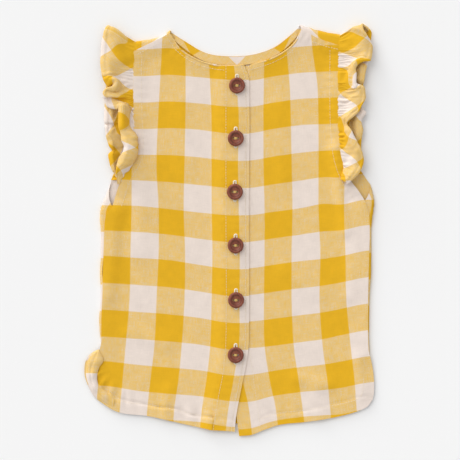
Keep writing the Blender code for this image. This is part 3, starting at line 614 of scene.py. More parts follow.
def makeBack(spec):
    # laid open first, with the cloth that goes round the rolls, and then rolled over at each fold
    radiusAt = lambda y: np.interp(y, spec["rollHeights"], spec["roll"])
    leftLine, rightLine = lineAt(spec["foldLeft"], 1), lineAt(spec["foldRight"], 1)
    foldLeft = lambda y: leftLine(y) + radiusAt(y) + 0.5
    foldRight = lambda y: rightLine(y) - radiusAt(y) - 0.5
    topLeft, topRight = lineAt(spec["topLeft"], 0), lineAt(spec["topRight"], 0)
    crest = lambda x: np.where(x < spec["middle"], topLeft(x), topRight(x)) - spec["shoulderRoll"] - 0.5

    def beyond(hidden, radius):
        return pi * radius + np.maximum(hidden + spec["underSeam"], spec["leastFlap"])

    def openedSide(seam, fold, inward):
        x, y = np.array(seam, float).T
        return list(zip(fold(y) - inward * beyond(inward * (x - fold(y)), radiusAt(y)), y))

    def openedShoulder(seam):
        x, y = np.array(seam, float).T
        return list(zip(x, crest(x) + beyond(crest(x) - y, spec["shoulderRoll"])))

    def panelSide(low, cells, seam, arm, top):
        return joined(smoothPath(low, cells), smoothPath([low[-1], seam[0]], 32 - cells),
                      smoothPath(seam, 60), smoothPath([seam[-1]] + arm + [top], 80))

    crestLeft, crestRight = openedShoulder(overlap["shoulder"]), openedShoulder(underlap["shoulder"])
    left = panelSide(spec["lowLeft"], 24, openedSide(overlap["side"], foldLeft, 1), spec["armLeft"],
                     crestLeft[0])
    right = panelSide(spec["lowRight"], 20, openedSide(underlap["side"], foldRight, -1), spec["armRight"],
                      crestRight[-1])
    top = joined(smoothPath(crestLeft, 24), smoothPath([crestLeft[-1], spec["neck"][0]], 4),
                 smoothPath(spec["neck"], 50), smoothPath([spec["neck"][-1], crestRight[0]], 4),
                 smoothPath(crestRight, 24))
    grid = stretchedBetween(left, right, smoothPath(spec["hem"], len(top) - 1), top)
    x, y = np.moveaxis(grid, -1, 0)
    cloth = backCheck(spec, x, y)
    z = np.full(x.shape, levels["back"])
    for fold, inward in ((foldLeft, 1), (foldRight, -1)):
        past = np.maximum(inward * (fold(y) - x), 0)
        reach, rise = rolledOver(past, radiusAt(y))
        x = np.where(past > 0, fold(y) - inward * reach, x)
        z = np.where(past > 0, levels["back"] + rise, z)
    beside = np.abs(x - spec["middle"]) > spec["neckHalf"]
    past = np.where(beside, np.maximum(y - crest(x), 0), 0)
    reach, rise = rolledOver(past, spec["shoulderRoll"])
    y = np.where(past > 0, crest(x) + reach, y)
    z = np.where(past > 0, levels["back"] + rise, z)
    return makeSheet("backPanel", "back", x, y, z, cloth, wall)


backPiece = makeBack(backPanel)


facing = {"width": 8.0, "gap": 0.4, "ends": 0.12, "cells": 120, "offEnds": 5,
          # where it lies on the cloth: along and across the bias, and how much of each a millimetre is
          "along": (1.5 * diagonal, 7, 0.84), "across": (11, 0.85)}


def makeFacing(spec):
    # a bias strip along the inside of the back neck: points are the neck's, moved inwards
    edge = smoothPath(backPanel["neck"], spec["cells"])[spec["offEnds"]:-spec["offEnds"]]
    run = np.gradient(edge, axis=0)
    run /= np.linalg.norm(run, axis=1)[:, None]
    width = spec["width"] * np.sin(np.linspace(spec["ends"], pi - spec["ends"], len(edge))) ** 0.35
    down = np.linspace(1, 0, 9)[:, None] * width
    x = edge[:, 0] + run[:, 1] * (spec["gap"] + down)
    y = edge[:, 1] - run[:, 0] * (spec["gap"] + down)
    (start, middle, share), (out, outShare) = spec["along"], spec["across"]
    cloth = onBias(start + (x - middle) * share, down * outShare + out)
    return makeSheet("neckFacing", "neck_facing_back", x, y, np.full(x.shape, levels["facing"]), cloth, wall,
                     "facing")


neckFacing = makeFacing(facing)
print("back and facing made")

# ---- armhole ruffles, each one strip: up the front armhole, round the shoulder, down the back
ruffle = {
    "chartStep": 0.93, "chartCorner": (229.5, 230.3),   # a chart of small squares, counted right and down
    "width": 29.0, "checkMiddle": 3.0,                  # the strip is cut on the diagonal of the check
    "hem": 4.2, "hemWall": 2.3,
    # the root: how far inside the armhole line in front and behind, how far down in the front's cloth, its
    # level behind, and its place at the turn, inwards, up and below the shoulder's level
    "rootIn": (0.9, 0.8), "rootDrop": 0.12, "backLevel": 0.9, "turnRoot": (2.9, 3, 1),
    "cellsInner": 18, "cellsHem": 8, "cellsAlong": 9,
    # wrinkles: height, length along the strip, lean, and how far they reach from the seam
    "wrinkles": [(0.60, 4.9, 0.11, 8.0), (0.75, 9.1, -0.16, 15.0), (0.65, 15.5, 0.20, 28.0)],
    # how much of their height over the root the first two of the four points of a station keep
    "lift": (0.46, 0.84),
    # how far out the root and the four points of a station are, as shares of the width
    "shares": {"even": (0, 0.26, 0.5, 0.76, 1), "roll": (0, 0.25, 0.52, 0.85, 1),
               "lobe": (0, 0.36, 0.66, 0.84, 1), "fold": (0, 0.22, 0.46, 0.72, 1),
               "finger": (0, 0.5, 0.82, 0.91, 1), "late": (0, 0.62, 0.75, 0.88, 1)},
}
ruffleLeftSpec = {
    "out": -1,
    "onto": overlap,
    "front": [(-109, 21.5)] + overlap["armhole"] + [(-88.5, 166), (-89.8, 171.5)],
    "back": [(-89.8, 171.5), (-91, 140), (-91.5, 100), (-93.5, 80), (-99.5, 64), (-106, 54), (-110, 46)],
    # from the shoulder down: how far down the seam, how far along the strip, then right, down and height of
    # four points, the last one on the free edge, and which shares they have where those aren't even
    "net": [
        (44, -14, 126, 42.5, 7, 119, 38, 9, 111, 33, 8.5, 104.3, 31, 5.5),
        (50, -6.5, 126, 48, 8, 118, 44.5, 9.5, 110, 41, 8.5, 102.3, 39, 5.5),
        (57, 0, 126, 55, 8, 118, 52.5, 9.5, 110, 50, 8.5, 101.2, 47.5, 5.5),
        (63, 7.5, 125.5, 61.5, 8, 117.5, 60, 9.5, 109, 58, 9, 100.7, 56.5, 5.5),
        (68, 17, 126, 68, 7, 118, 67.5, 7.5, 109, 66.5, 9.5, 100.6, 65, 6),
        (73, 26, 126, 73.5, 6, 118.5, 73, 6, 109.5, 72.5, 10, 101.8, 73.5, 6),
        (78, 33, 126, 78, 5.5, 119, 77.5, 5, 109.5, 76, 10.5, 103.5, 80, 5.5),
        (82, 39, 126, 82, 5, 120, 81, 5.5, 112, 78, 11, 108, 86.8, 6.5, "roll"),
        (85, 44, 126.5, 85, 5, 121.5, 84, 5.5, 116.5, 79.5, 11.5, 113, 84.5, 7, "roll"),
        (87.5, 49, 127, 87.5, 5, 122, 87, 5.5, 118.5, 85, 11, 112.5, 86.5, 9.5, "roll"),
        (90, 54, 127.5, 89.5, 5, 122, 90, 5, 115.5, 91.2, 9, 111, 87, 10.5, "roll"),
        (92.5, 58, 127.5, 92, 5.5, 120, 93, 7.5, 109.5, 92, 8.5, 106, 88.5, 9.5),
        (95, 62, 127.5, 94.5, 6.5, 119, 95, 9.5, 109, 95.3, 9.5, 103, 92.5, 7.5),
        (97.5, 66, 128, 97.5, 7.5, 119.5, 97.8, 9.5, 110, 97.3, 9, 103.2, 97, 7),
        (99, 68.5, 128.5, 98.5, 6.5, 120.5, 97.5, 6.5, 111, 96.3, 6, 104, 100, 6.5, "fold"),
        (101, 72, 128.5, 100, 5, 121, 99.5, 5, 112.5, 99, 6, 107, 106.5, 6, "fold"),
        (103.5, 76, 129, 102.5, 5.5, 123, 101.5, 5.5, 117, 101.5, 7, 112.5, 109, 6, "fold"),
        (106, 82, 129.5, 105, 6, 125.5, 103.5, 8, 120, 103.5, 9, 117, 109.5, 7.5, "roll"),
        (108.5, 91, 130, 107.5, 4.5, 127.5, 106, 10, 122.5, 105.5, 12, 118.6, 109, 8.5, "finger"),
        (112, 98.5, 130.3, 112, 3.5, 128, 112, 9.5, 123, 111.5, 12.5, 118.6, 113, 9, "finger"),
        (116, 102.5, 130.3, 116.5, 3.5, 128, 117, 9, 123, 117, 12.5, 118.6, 118, 9, "finger"),
        (120, 106, 130.3, 121, 3.5, 128.2, 122, 9, 123, 122, 12.5, 118.7, 122.5, 9, "finger"),
        (125, 110, 130.5, 126, 4, 128.5, 127, 9, 123.5, 127.5, 12, 119, 128, 9, "finger"),
        (129.5, 115.5, 132.5, 130, 6, 131.5, 131, 9.5, 126, 131.5, 11, 120.3, 131.5, 9, "lobe"),
        (134, 124, 136.5, 134.5, 6, 135.8, 136, 10.5, 128.5, 136.5, 11.5, 121.2, 136, 9, "lobe"),
        (138.5, 133, 137.2, 139.5, 6, 136.3, 141.5, 10.5, 129, 141, 12, 121.6, 140.5, 9.5, "lobe"),
        (143, 141, 138, 145, 6, 137, 147.5, 10.5, 130.3, 147, 12.5, 124.2, 146.5, 9.5, "lobe"),
        (148, 149, 138, 151, 6, 136.6, 153, 10.5, 129.5, 152.8, 12.5, 122.6, 152.8, 9.5, "lobe"),
        (153, 157, 136.8, 156.5, 6, 134.6, 158.5, 10, 127.5, 158.5, 12, 119.3, 157.5, 9, "lobe"),
        (158, 165, 134, 161.5, 6, 131, 164, 9.5, 124.5, 164, 11.5, 117.3, 163.5, 8.5, "lobe"),
        (164, 173, 131, 166.5, 6, 126.5, 168.7, 9, 121.5, 168.5, 10, 116.3, 168.5, 7.5),
        (170, 181, 127, 171.5, 5, 123, 172.5, 7, 119.5, 172.5, 7.5, 115.8, 173, 6),
        (176, 189, 123, 176, 4, 120.7, 177, 5, 118.7, 177, 5, 116.6, 176.5, 4),
        (184, 196, 120, 184, 3.6, 119.2, 184, 4, 118.6, 184, 4, 118, 184, 3.6),
    ],
    "turn": [(-15.5, 125, 35.6, 5.8, 118.5, 30.5, 6.5, 113, 28, 6.5, 107, 27, 5)],
    # the half behind, on down: its own free edge shows where the front half is drawn in; its shares are
    # even down to lateFrom, and late from there on
    "behind": [
        (50, -20, 121, 46, 1.6, 115, 45, 1.8, 110, 44, 2, 105.5, 43, 1.8),
        (62, -52, 121, 60, 1.6, 115, 59, 1.8, 110, 58, 2, 105, 57, 1.8),
        (74, -72, 121, 73, 1.6, 115, 72.5, 1.8, 110, 72, 2, 105, 72, 1.5),
        (86, -93, 121, 86, 1.6, 115, 86, 2, 110, 86, 2, 105.8, 86, 1.6),
        (97, -113, 121, 97, 1.6, 115, 97.5, 2, 110, 97.5, 2, 105.3, 97, 1.8),
        (105, -126, 120, 105, 1.3, 116, 105, 1.2, 111.5, 105, 2.2, 104.5, 104.5, 2.2),
        (110, -131, 120, 110, 1.2, 115.5, 110, 1, 111, 110, 3.5, 104.2, 109.5, 2.5),
        (117, -136, 120, 117, 1.2, 115.5, 117, 1.2, 111.3, 117, 4.5, 104.1, 116.5, 3),
        (121.5, -140, 120, 121.5, 2.5, 115.5, 121.8, 3.6, 111, 122, 4.6, 104.2, 122, 3),
        (124.5, -142, 120, 124.5, 1.5, 115.5, 125.3, 1.6, 111, 124.2, 2.5, 104.5, 124, 1.3),
        (128, -145, 120, 128, 2, 115.5, 128, 2.6, 110.8, 127.5, 4.3, 104.6, 127, 3),
        (134, -151, 120, 134, 3, 115.5, 134, 3.6, 110.8, 133.5, 4.6, 105.3, 133, 3),
        (140, -160, 120, 140, 2.4, 116, 140, 3, 112, 140, 4.2, 107, 140, 3),
        (146, -168, 120, 146, 2.4, 116.5, 146, 3, 113, 146, 4.5, 109, 146, 3),
        (150, -172, 120, 150, 1.5, 117.5, 150.3, 1.6, 114.5, 150.3, 1.8, 111.8, 150.5, 1.4),
        (154, -177, 120, 154, 1.5, 116.8, 154, 3.2, 113, 154, 5, 108.3, 154.5, 3.6),
        (161, -184, 120, 161, 2, 117, 161, 3.4, 113.5, 161, 5.5, 109.3, 161.5, 3.8),
        (168, -192, 120.5, 168, 2.4, 117.5, 168, 3.4, 114.5, 168, 5, 111.3, 168.5, 3.2),
        (174, -200, 121, 174, 2, 119, 174, 2.6, 117, 174.5, 3.2, 114.9, 174.5, 2.4),
        (180, -208, 120.5, 180, 1.4, 119.5, 180, 1.5, 118.6, 180, 1.5, 117.6, 180, 1.2),
    ],
    "behindWidth": 1.17, "lateFrom": 137,
}
ruffleRightSpec = {
    "out": 1,
    "onto": underlap,
    "front": [(126, 27)] + underlap["armhole"] + [(102, 171.5), (103.2, 176.5)],
    "back": [(103.2, 176.5), (103.5, 145), (104.5, 102), (107.5, 84), (114.5, 68), (120, 59), (124, 50)],
    "net": [
        (37, -13, 349.5, 32, 8, 355, 29.5, 10.5, 360, 29, 11, 363.6, 31.5, 9.5),
        (41, -5, 350.5, 38, 8.5, 357, 35.5, 9, 363.5, 35.5, 11, 367.8, 38.5, 9),
        (45, 4, 350.5, 44, 8.5, 358.5, 42, 10, 366.5, 41, 9.5, 372.2, 44, 6),
        (50, 13, 350, 50, 8, 358, 49.5, 10, 366, 49, 9.5, 372.3, 52, 6.5),
        (55, 22, 349.5, 55.5, 7.5, 357, 55, 8.5, 364.5, 55, 10.5, 371, 58.8, 8.5),
        (59, 30, 349, 59, 7, 355.5, 58.7, 8, 362.5, 57.5, 11, 369.6, 61.4, 10),
        (62, 36, 347.5, 62, 7, 352.5, 62, 7.5, 358, 59.5, 11, 362, 62.5, 10.5, "roll"),
        (65, 44, 346.5, 65.5, 6.5, 350, 65.5, 7, 353.5, 62.5, 11, 357, 66, 10.5, "roll"),
        (68, 56, 346, 69, 6.5, 349, 69.5, 7, 351.5, 68, 10, 355.5, 69.5, 10.5, "roll"),
        (72, 64, 345, 73, 7, 348.5, 74, 8, 351.8, 74, 9, 356.2, 74, 10.5, "roll"),
        (77, 65.5, 344.5, 78, 7, 348, 78.5, 8, 351.8, 79, 8.5, 356, 79, 10.5, "roll"),
        (82, 67, 344, 83, 7, 348, 84, 7.5, 352.3, 85, 8.5, 356.2, 83, 10, "roll"),
        (86, 75, 344, 87.5, 6, 348.5, 88.3, 6.5, 355, 88.8, 9.5, 358.5, 84.5, 9.5, "roll"),
        (90, 86, 345, 92, 6, 351, 91.8, 8, 359, 90.5, 10, 363.5, 86.5, 9),
        (95, 90, 346, 96.5, 7, 352, 96, 9, 360, 95.5, 9.5, 365.2, 93, 8),
        (100, 97, 346, 101, 7, 352, 100.5, 9.5, 359.5, 100, 9.5, 365.2, 99, 8),
        (105, 105, 346, 106, 7, 352, 105.5, 9.5, 358, 105.5, 9.5, 362, 104.7, 8.5),
        (110, 113, 345.5, 110.5, 7, 350.5, 110.5, 9.5, 354.5, 110, 10, 358.8, 111.8, 9),
        (114, 120, 344, 114.5, 6.5, 347, 115, 9, 350, 113.7, 10, 353.5, 117, 9),
        (118, 126, 342.5, 118.5, 6, 344.5, 119, 7.5, 346.2, 118.3, 8.8, 347.8, 121.5, 8),
        (123, 129, 342.8, 124, 5.5, 344.8, 124.5, 6, 346, 124.5, 6.5, 347.5, 125, 7),
        (130, 133, 343, 131, 6.5, 345.5, 131.5, 7.5, 347.5, 131, 9.5, 351.3, 130.5, 9.5),
        (136, 141, 343, 137, 6.5, 346, 138, 8, 349, 136.8, 10.5, 353.6, 135.5, 9.5),
        (142, 149, 343.5, 143.5, 6, 347.5, 144, 8.5, 352, 142.5, 11, 356.8, 141.5, 9),
        (147, 157, 345, 149, 7, 350, 149, 9, 355, 148, 11.5, 359.8, 147.5, 9),
        (152, 165, 346.5, 154, 8, 352, 154, 9.5, 357.8, 154, 11, 362, 153.5, 8.5),
        (157, 173, 347, 158.5, 8, 352.5, 159, 9.5, 358.3, 159.5, 10, 363.5, 160.5, 8),
        (162, 181, 346.5, 163.5, 8, 351.5, 164, 9.5, 357, 165.5, 9.5, 362, 167, 8.5),
        (166, 189, 345, 167.5, 8, 349.5, 169, 9, 354, 170, 10.5, 359, 173, 9),
        (170, 198, 343, 171, 8.5, 347, 173, 9.5, 350.8, 174.8, 11, 354.5, 178, 9),
        (174, 208, 341.3, 175, 8, 344.5, 177.5, 9, 347.2, 179.2, 10, 350, 182, 8),
        (178, 215, 341, 178.7, 7, 343.3, 181, 8, 345.3, 182.5, 8, 347, 184.3, 6),
    ],
    "turn": [(-18, 348.5, 30.5, 5.5, 353, 27.5, 7, 358.5, 25.8, 8, 363.5, 24.8, 7)],
    "behind": [
        (35, -27, 350, 33, 2, 357, 31, 2.2, 364.5, 29.5, 2.6, 371, 31, 4.6),
        (44, -38, 350, 41, 1.8, 357, 40, 2, 363.5, 39.5, 2, 371, 40, 3),
        (55, -60, 350, 54, 1.8, 357, 54, 2, 363.5, 54, 2, 369.5, 55, 2),
        (64, -79, 350, 64, 2, 357, 65.5, 4, 361.5, 65, 6.5, 367.5, 64.5, 5),
        (72, -87, 350, 72, 2.5, 357, 72, 5, 361, 72, 7, 365.8, 71, 5.5),
        (80, -94, 350, 80, 2.5, 356.8, 80, 5, 360.5, 80, 7, 364.2, 80, 5.5),
        (88, -104, 350, 88, 1.5, 356, 88, 1.5, 359.5, 88, 2.6, 362.6, 87, 2.2),
        (97, -120, 350, 97, 1.5, 355, 97, 1.5, 358.5, 97, 2, 362, 96, 2),
        (104, -134, 349, 104, 1.4, 353.5, 104, 1.4, 358, 105, 2.6, 361.6, 105, 2.6),
        (109, -138, 348.5, 109.5, 1.4, 352.5, 110, 1.4, 357.5, 110.5, 4.6, 363.5, 109.2, 4.6),
        (113, -141.5, 348.5, 114, 1.2, 352, 114.3, 1.2, 357.3, 114, 6, 366.2, 113, 5.6),
        (117.5, -146, 348.5, 118, 1, 351.5, 118.5, 1, 356.8, 118, 6, 362.5, 118.5, 4),
        (122, -151, 348.5, 122.5, 1, 351.5, 123, 1, 357, 122.5, 6, 361.6, 122, 4.2),
        (129, -158, 348.5, 129.5, 1.2, 352, 130, 1.3, 357.3, 130, 6.4, 363, 129.5, 4.6),
        (136, -166, 348.5, 136, 1.3, 352.5, 136.5, 2, 357, 136.5, 5.6, 362, 136.5, 4),
        (143, -174, 348.5, 143, 1.4, 352, 143, 2, 357, 143, 4, 361.2, 143.5, 3),
        (150, -181, 349, 150, 1.4, 353, 150, 1.5, 357, 150, 3, 361.4, 150, 3),
        (158, -189, 350, 158, 1.4, 354, 158, 1.5, 358, 158, 2.5, 362.3, 158, 2),
        (166, -197, 351, 166, 1.3, 354, 166, 1.4, 357, 166, 1.8, 360, 166, 1.5),
        (174, -205, 353, 174, 1.2, 354, 174, 1.2, 355, 174, 1.3, 356.5, 174, 1.2),
    ],
    "behindWidth": 1.1, "lateFrom": 200,
}


def fromChart(right, down):
    # millimetres from squares of the chart
    corner = ruffle["chartCorner"]
    return ((np.asarray(right) - corner[0]) * ruffle["chartStep"],
            (corner[1] - np.asarray(down)) * ruffle["chartStep"])


def rootsOn(line, downs, inward):
    # the places on an armhole line that lie this far down the chart, a little inside it
    line = smoothPath(line, 400)
    line = line[np.argsort(line[:, 1])]
    y = fromChart(0, downs)[1]
    return np.interp(y, line[:, 1], line[:, 0]) - inward, y


def ruffleNet(spec):
    # five points across the strip at each station, how far out each is, how far along the strip the
    # station is, and how wide the strip is taken there; from the underarm up the front, then down behind
    front, turn, behind = spec["net"][::-1], spec["turn"], spec["behind"]
    rows = [row[2:14] for row in front] + [row[1:] for row in turn] + [row[2:] for row in behind]
    points = np.array(rows, float).reshape(-1, 4, 3)
    places = np.empty((len(points), 5, 3))
    places[:, 1:, 0], places[:, 1:, 1] = fromChart(points[..., 0], points[..., 1])
    places[:, 1:, 2] = points[..., 2]
    n = len(front)
    inFront, inBehind = ruffle["rootIn"]
    x, y = rootsOn(spec["front"], [row[0] for row in front], spec["out"] * inFront)
    root = frontHeight(x, y, spec["onto"], levels["underBand"]) - ruffle["rootDrop"]
    for k, lift in enumerate(ruffle["lift"]):
        places[:n, k + 1, 2] = root + (places[:n, k + 1, 2] - root) * lift
    places[:n, 0] = np.column_stack([x, y, root])
    (x, y), (inward, up, below) = spec["front"][-1], ruffle["turnRoot"]
    places[n, 0] = (x - spec["out"] * inward, y + up, levels["shoulder"] - below)
    x, y = rootsOn(spec["back"], [row[0] for row in behind], -spec["out"] * inBehind)
    places[n + 1:, 0] = np.column_stack([x, y, np.full(len(y), ruffle["backLevel"])])
    kinds = [row[14] if len(row) > 14 else "even" for row in front]
    kinds += ["late" if row[0] > spec["lateFrom"] else "even" for row in turn + behind]
    shares = [ruffle["shares"][kind] for kind in kinds]
    along = [row[1] for row in front] + [row[0] for row in turn] + [row[1] for row in behind]
    widths = [1.0] * (n + 1) + [spec["behindWidth"]] * len(behind)
    return places, np.array(shares, float), np.array(along, float), np.array(widths)


def ruffleSurface(spec):
    # a cubic across each station, then a cubic from station to station; wrinkles are sines along the
    # strip that fade away from the seam, raised square to the cloth
    net, shares, along, widths = ruffleNet(spec)
    hemStart = 1 - ruffle["hem"] / ruffle["width"]
    out = np.r_[np.linspace(0, hemStart, ruffle["cellsInner"] + 1),
                np.linspace(hemStart, 1, ruffle["cellsHem"] + 1)[1:]]
    rows = np.stack([cubic(out, share, row) for share, row in zip(shares, net)])
    stations = np.arange(len(net))
    at = np.linspace(0, len(net) - 1, (len(net) - 1) * ruffle["cellsAlong"] + 1)
    places = cubic(at, stations, rows.reshape(len(net), -1)).reshape(len(at), -1, 3)
    along = cubic(at, stations, along)[:, None] + 0 * out
    width = cubic(at, stations, widths)[:, None] * out * ruffle["width"]
    square = np.cross(np.gradient(places, axis=0), np.gradient(places, axis=1))
    square /= np.linalg.norm(square, axis=2)[..., None] + 1e-9
    for height, length, lean, reach in ruffle["wrinkles"]:
        wave = np.sin(2 * pi * along / length + lean * width + 3.2 * np.sin(along / 9.0 + length)
                      + 1.1 * np.sin(width / 4.0 + along / 6.0))
        wave = wave * (0.5 + 0.5 * np.sin(along / 7.0 + 2 * length + 0.16 * width))
        wave = wave * np.exp(-width / reach) * np.clip(width / 3, 0, 1)
        places = places + (height * wave)[..., None] * square
    return places, along, width, out[None, :] + 0 * along


def makeRuffle(name, node, spec):
    # the narrow doubled hem is a soft tube: its wall is a half circle across the hem
    places, along, width, out = ruffleSurface(spec)
    middle = width - ruffle["checkMiddle"]
    piece = makeSheet(name, node, *np.moveaxis(places, -1, 0), onBias(along, middle) + 0.5,
                      ruffle["hemWall"])
    thin = wall / ruffle["hemWall"]
    intoHem = (out - 1) * ruffle["width"] / ruffle["hem"] + 1
    halfCircle = np.sqrt(np.clip(1 - (2 * intoHem - 1) ** 2, 0, 1)) * 0.9 + 0.1
    share = np.round(np.where(intoHem > 0.01, np.maximum(halfCircle, thin), thin), 2).ravel()
    group = piece.vertex_groups.new(name="hem")
    for level in np.unique(share):
        group.add(np.flatnonzero(share == level).tolist(), float(level), "REPLACE")
    piece.modifiers["wall"].vertex_group = "hem"
    return piece


ruffleLeft = makeRuffle("ruffleLeft", "ruffle_left", ruffleLeftSpec)
ruffleRight = makeRuffle("ruffleRight", "ruffle_right", ruffleRightSpec)
print("ruffles made")

# ---- buttons
buttons = {
    "places": [(7.0, 134.5), (5.8, 85.5), (5.0, 35.7), (5.7, -14.1), (6.1, -64.9), (5.7, -115.9)],
    "base": 5.2,
    "profile": [(0, 1.55), (1.6, 1.5), (3.1, 1.6), (3.9, 2.0), (4.4, 2.5), (4.7, 2.45), (4.95, 2.55),
                (5.2, 2.85), (5.8, 3.0), (6.5, 2.92), (7.1, 2.55), (7.45, 1.9), (7.45, 1.4), (7.1, 0.5),
                (6.4, 0.05), (0, 0)],
    "steps": 64, "holeRadius": 1.05, "holeSpacing": 4.5, "holeSteps": 20, "holeDepth": (-2.0, 6.0),
    "brown": (0.215, 0.056, 0.030), "dark": (0.085, 0.022, 0.014), "pale": (0.36, 0.115, 0.065),
    # the dark ring is painted shade in the groove
    "groove": (4.62, 0.42, 0.45),                       # the dark ring: radius, half width, depth of tone
}


def buttonMaterial(spec):
    # streaky horn-like brown, with painted shade darkening the ring groove: one less a bell curve of the
    # distance to the ring
    shade = Shade("turnedButton", Roughness=0.5, Specular_IOR_Level=0.35)
    right, up = shade.pair("face")
    grain = shade.noise(shade.vector(right * 0.9, up * 0.25), 1.0, 4.0)
    cloud = shade.noise(shade.spot(), 220.0, 3.0)
    tone = shade.node("ShaderNodeValToRGB", {"stops": [(0.28, spec["dark"]), (0.50, spec["brown"]),
                                                       (0.75, spec["pale"])]}, {0: grain * 0.6 + cloud * 0.4})
    radius = (right * right + up * up).root()
    ring, width, shadeDepth = spec["groove"]
    away = (radius - ring) / width
    shade.feed("Base Color", shade.tinted(tone, 1.0 - (away * away * -1.0).power() * shadeDepth))
    shade.feed("Roughness", 0.36 + grain * 0.3)
    shade.feed("Normal", shade.raised(grain, 0.25, 0.00015))
    return shade.material


def makeDrill(spec, side):
    # an upright cylinder where a hole is to be
    count = spec["holeSteps"]
    turn = np.arange(count) * 2 * pi / count
    ring = np.stack([side * spec["holeSpacing"] / 2 + spec["holeRadius"] * np.cos(turn),
                     spec["holeRadius"] * np.sin(turn)], axis=-1)
    points = np.vstack([np.c_[ring, np.full(count, level)] for level in spec["holeDepth"]])
    k = np.arange(count)
    walls = [(a, b, b + count, a + count) for a, b in zip(k, np.roll(k, -1))]
    mesh = bpy.data.meshes.new("drill")
    mesh.from_pydata((points * mm).tolist(), [], walls + [tuple(k[::-1]), tuple(k + count)])
    drill = bpy.data.objects.new("drill", mesh)
    bpy.context.scene.collection.objects.link(drill)
    return drill


def makeButtons(spec):
    # a profile turned round the upright axis, with two holes cut through
    material = buttonMaterial(spec)
    radius, height = np.array(spec["profile"][1:-1]).T
    angle = np.arange(spec["steps"]) * 2 * pi / spec["steps"]
    rings = np.stack([radius[:, None] * np.cos(angle), radius[:, None] * np.sin(angle),
                      height[:, None] + 0 * angle], axis=-1)
    points = np.vstack([rings.reshape(-1, 3), [[0, 0, spec["profile"][0][1]]], [[0, 0, 0]]])
    faces = ringFaces(*rings.shape[:2])
    index = np.arange(spec["steps"])
    around, last = np.roll(index, -1), (len(radius) - 1) * spec["steps"]
    top, bottom = len(points) - 2, len(points) - 1
    faces += [(a, b, top) for a, b in zip(index, around)]
    faces += [(b, a, bottom) for a, b in zip(index + last, around + last)]
    drills = [makeDrill(spec, side) for side in (-1, 1)]
    made = []
    for number, (x, y) in enumerate(spec["places"]):
        place = np.array([x, y, spec["base"]])
        piece = makePiece(f"sewnButton{number + 1}", points + place, faces, material, "button",
                          {"face": points[:, :2]})
        for drill in drills:
            drill.data.transform(Matrix.Translation(place * mm))
            cut = piece.modifiers.new("hole", "BOOLEAN")
            cut.operation, cut.solver, cut.object = "DIFFERENCE", "EXACT", drill
        bpy.context.view_layer.update()
        solid = bpy.data.meshes.new_from_object(piece.evaluated_get(bpy.context.evaluated_depsgraph_get()))
        for drill in drills:
            drill.data.transform(Matrix.Translation(-place * mm))
        piece.modifiers.clear()
        piece.data = solid
        solid.shade_smooth()
        solid.set_sharp_from_angle(angle=0.9)
        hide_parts(f"button_{number + 1}")
        made.append(piece)
    for drill in drills:
        bpy.data.objects.remove(drill)
    return made


buttonPieces = makeButtons(buttons)
print("buttons made")


# ---- thread
def alongBesideAbove(run):
    # three unit vectors at each place of a path, from the way it runs there
    run = run / np.linalg.norm(run, axis=1)[:, None]
    side = np.cross(run, [0, 0, 1.0])
    side /= np.linalg.norm(side, axis=1)[:, None]
    return run, side, np.cross(side, run)


def stitches(path, length, pitch, radius):
    # short capsules along a path of (x, y, z): rings of a five-sided profile, sunk at both ends
    middle = np.arange(pitch / 2, lengths(path)[-1], pitch)
    centre = placesAt(path, middle)
    run, side, up = alongBesideAbove(placesAt(path, middle + 0.5) - placesAt(path, middle - 0.5))
    t = np.array([-0.5, -0.4, 0.0, 0.4, 0.5])
    girth = np.array([0.35, 0.85, 1.0, 0.85, 0.35]) * radius
    sink = -1.6 * radius * (2 * t) ** 4
    angle = np.arange(5) * 2 * pi / 5
    points = (centre[:, None, None] + run[:, None, None] * (t * length)[None, :, None, None]
              + side[:, None, None] * (girth[:, None] * np.cos(angle))[None, :, :, None]
              + up[:, None, None] * (girth[:, None] * np.sin(angle) + sink[:, None])[None, :, :, None])
    faces = ringFaces(5, 5) + [range(5), range(24, 19, -1)]
    every = [tuple(np.array(face) + 25 * k) for k in range(len(centre)) for face in faces]
    return points.reshape(-1, 3), every


def gathered(parts):
    # many small shapes as one list of points and one of faces
    points, faces, count = [], [], 0
    for p, f in parts:
        points.append(p)
        faces += [tuple(np.array(face) + count) for face in f]
        count += len(p)
    return np.vstack(points), faces


def tube(path, radii, sides=8, flat=1.0):
    # rings round a path of (x, y, z), closed by its two ends; gives how far along and round each point is
    run, side, up = alongBesideAbove(np.gradient(path, axis=0))
    angle = np.arange(sides) * 2 * pi / sides
    radii = np.broadcast_to(radii, len(path))[:, None, None]
    points = (path[:, None] + radii * (side[:, None] * np.cos(angle)[None, :, None]
                                       + flat * up[:, None] * np.sin(angle)[None, :, None]))
    last = len(path) * sides
    faces = ringFaces(len(path), sides) + [range(sides), range(last - 1, last - sides - 1, -1)]
    length = lengths(path)[:, None]
    maps = np.stack([length + 0 * angle, np.abs(angle / pi - 1)[None] + 0 * length], axis=-1)
    return points.reshape(-1, 3), faces, maps.reshape(-1, 2)


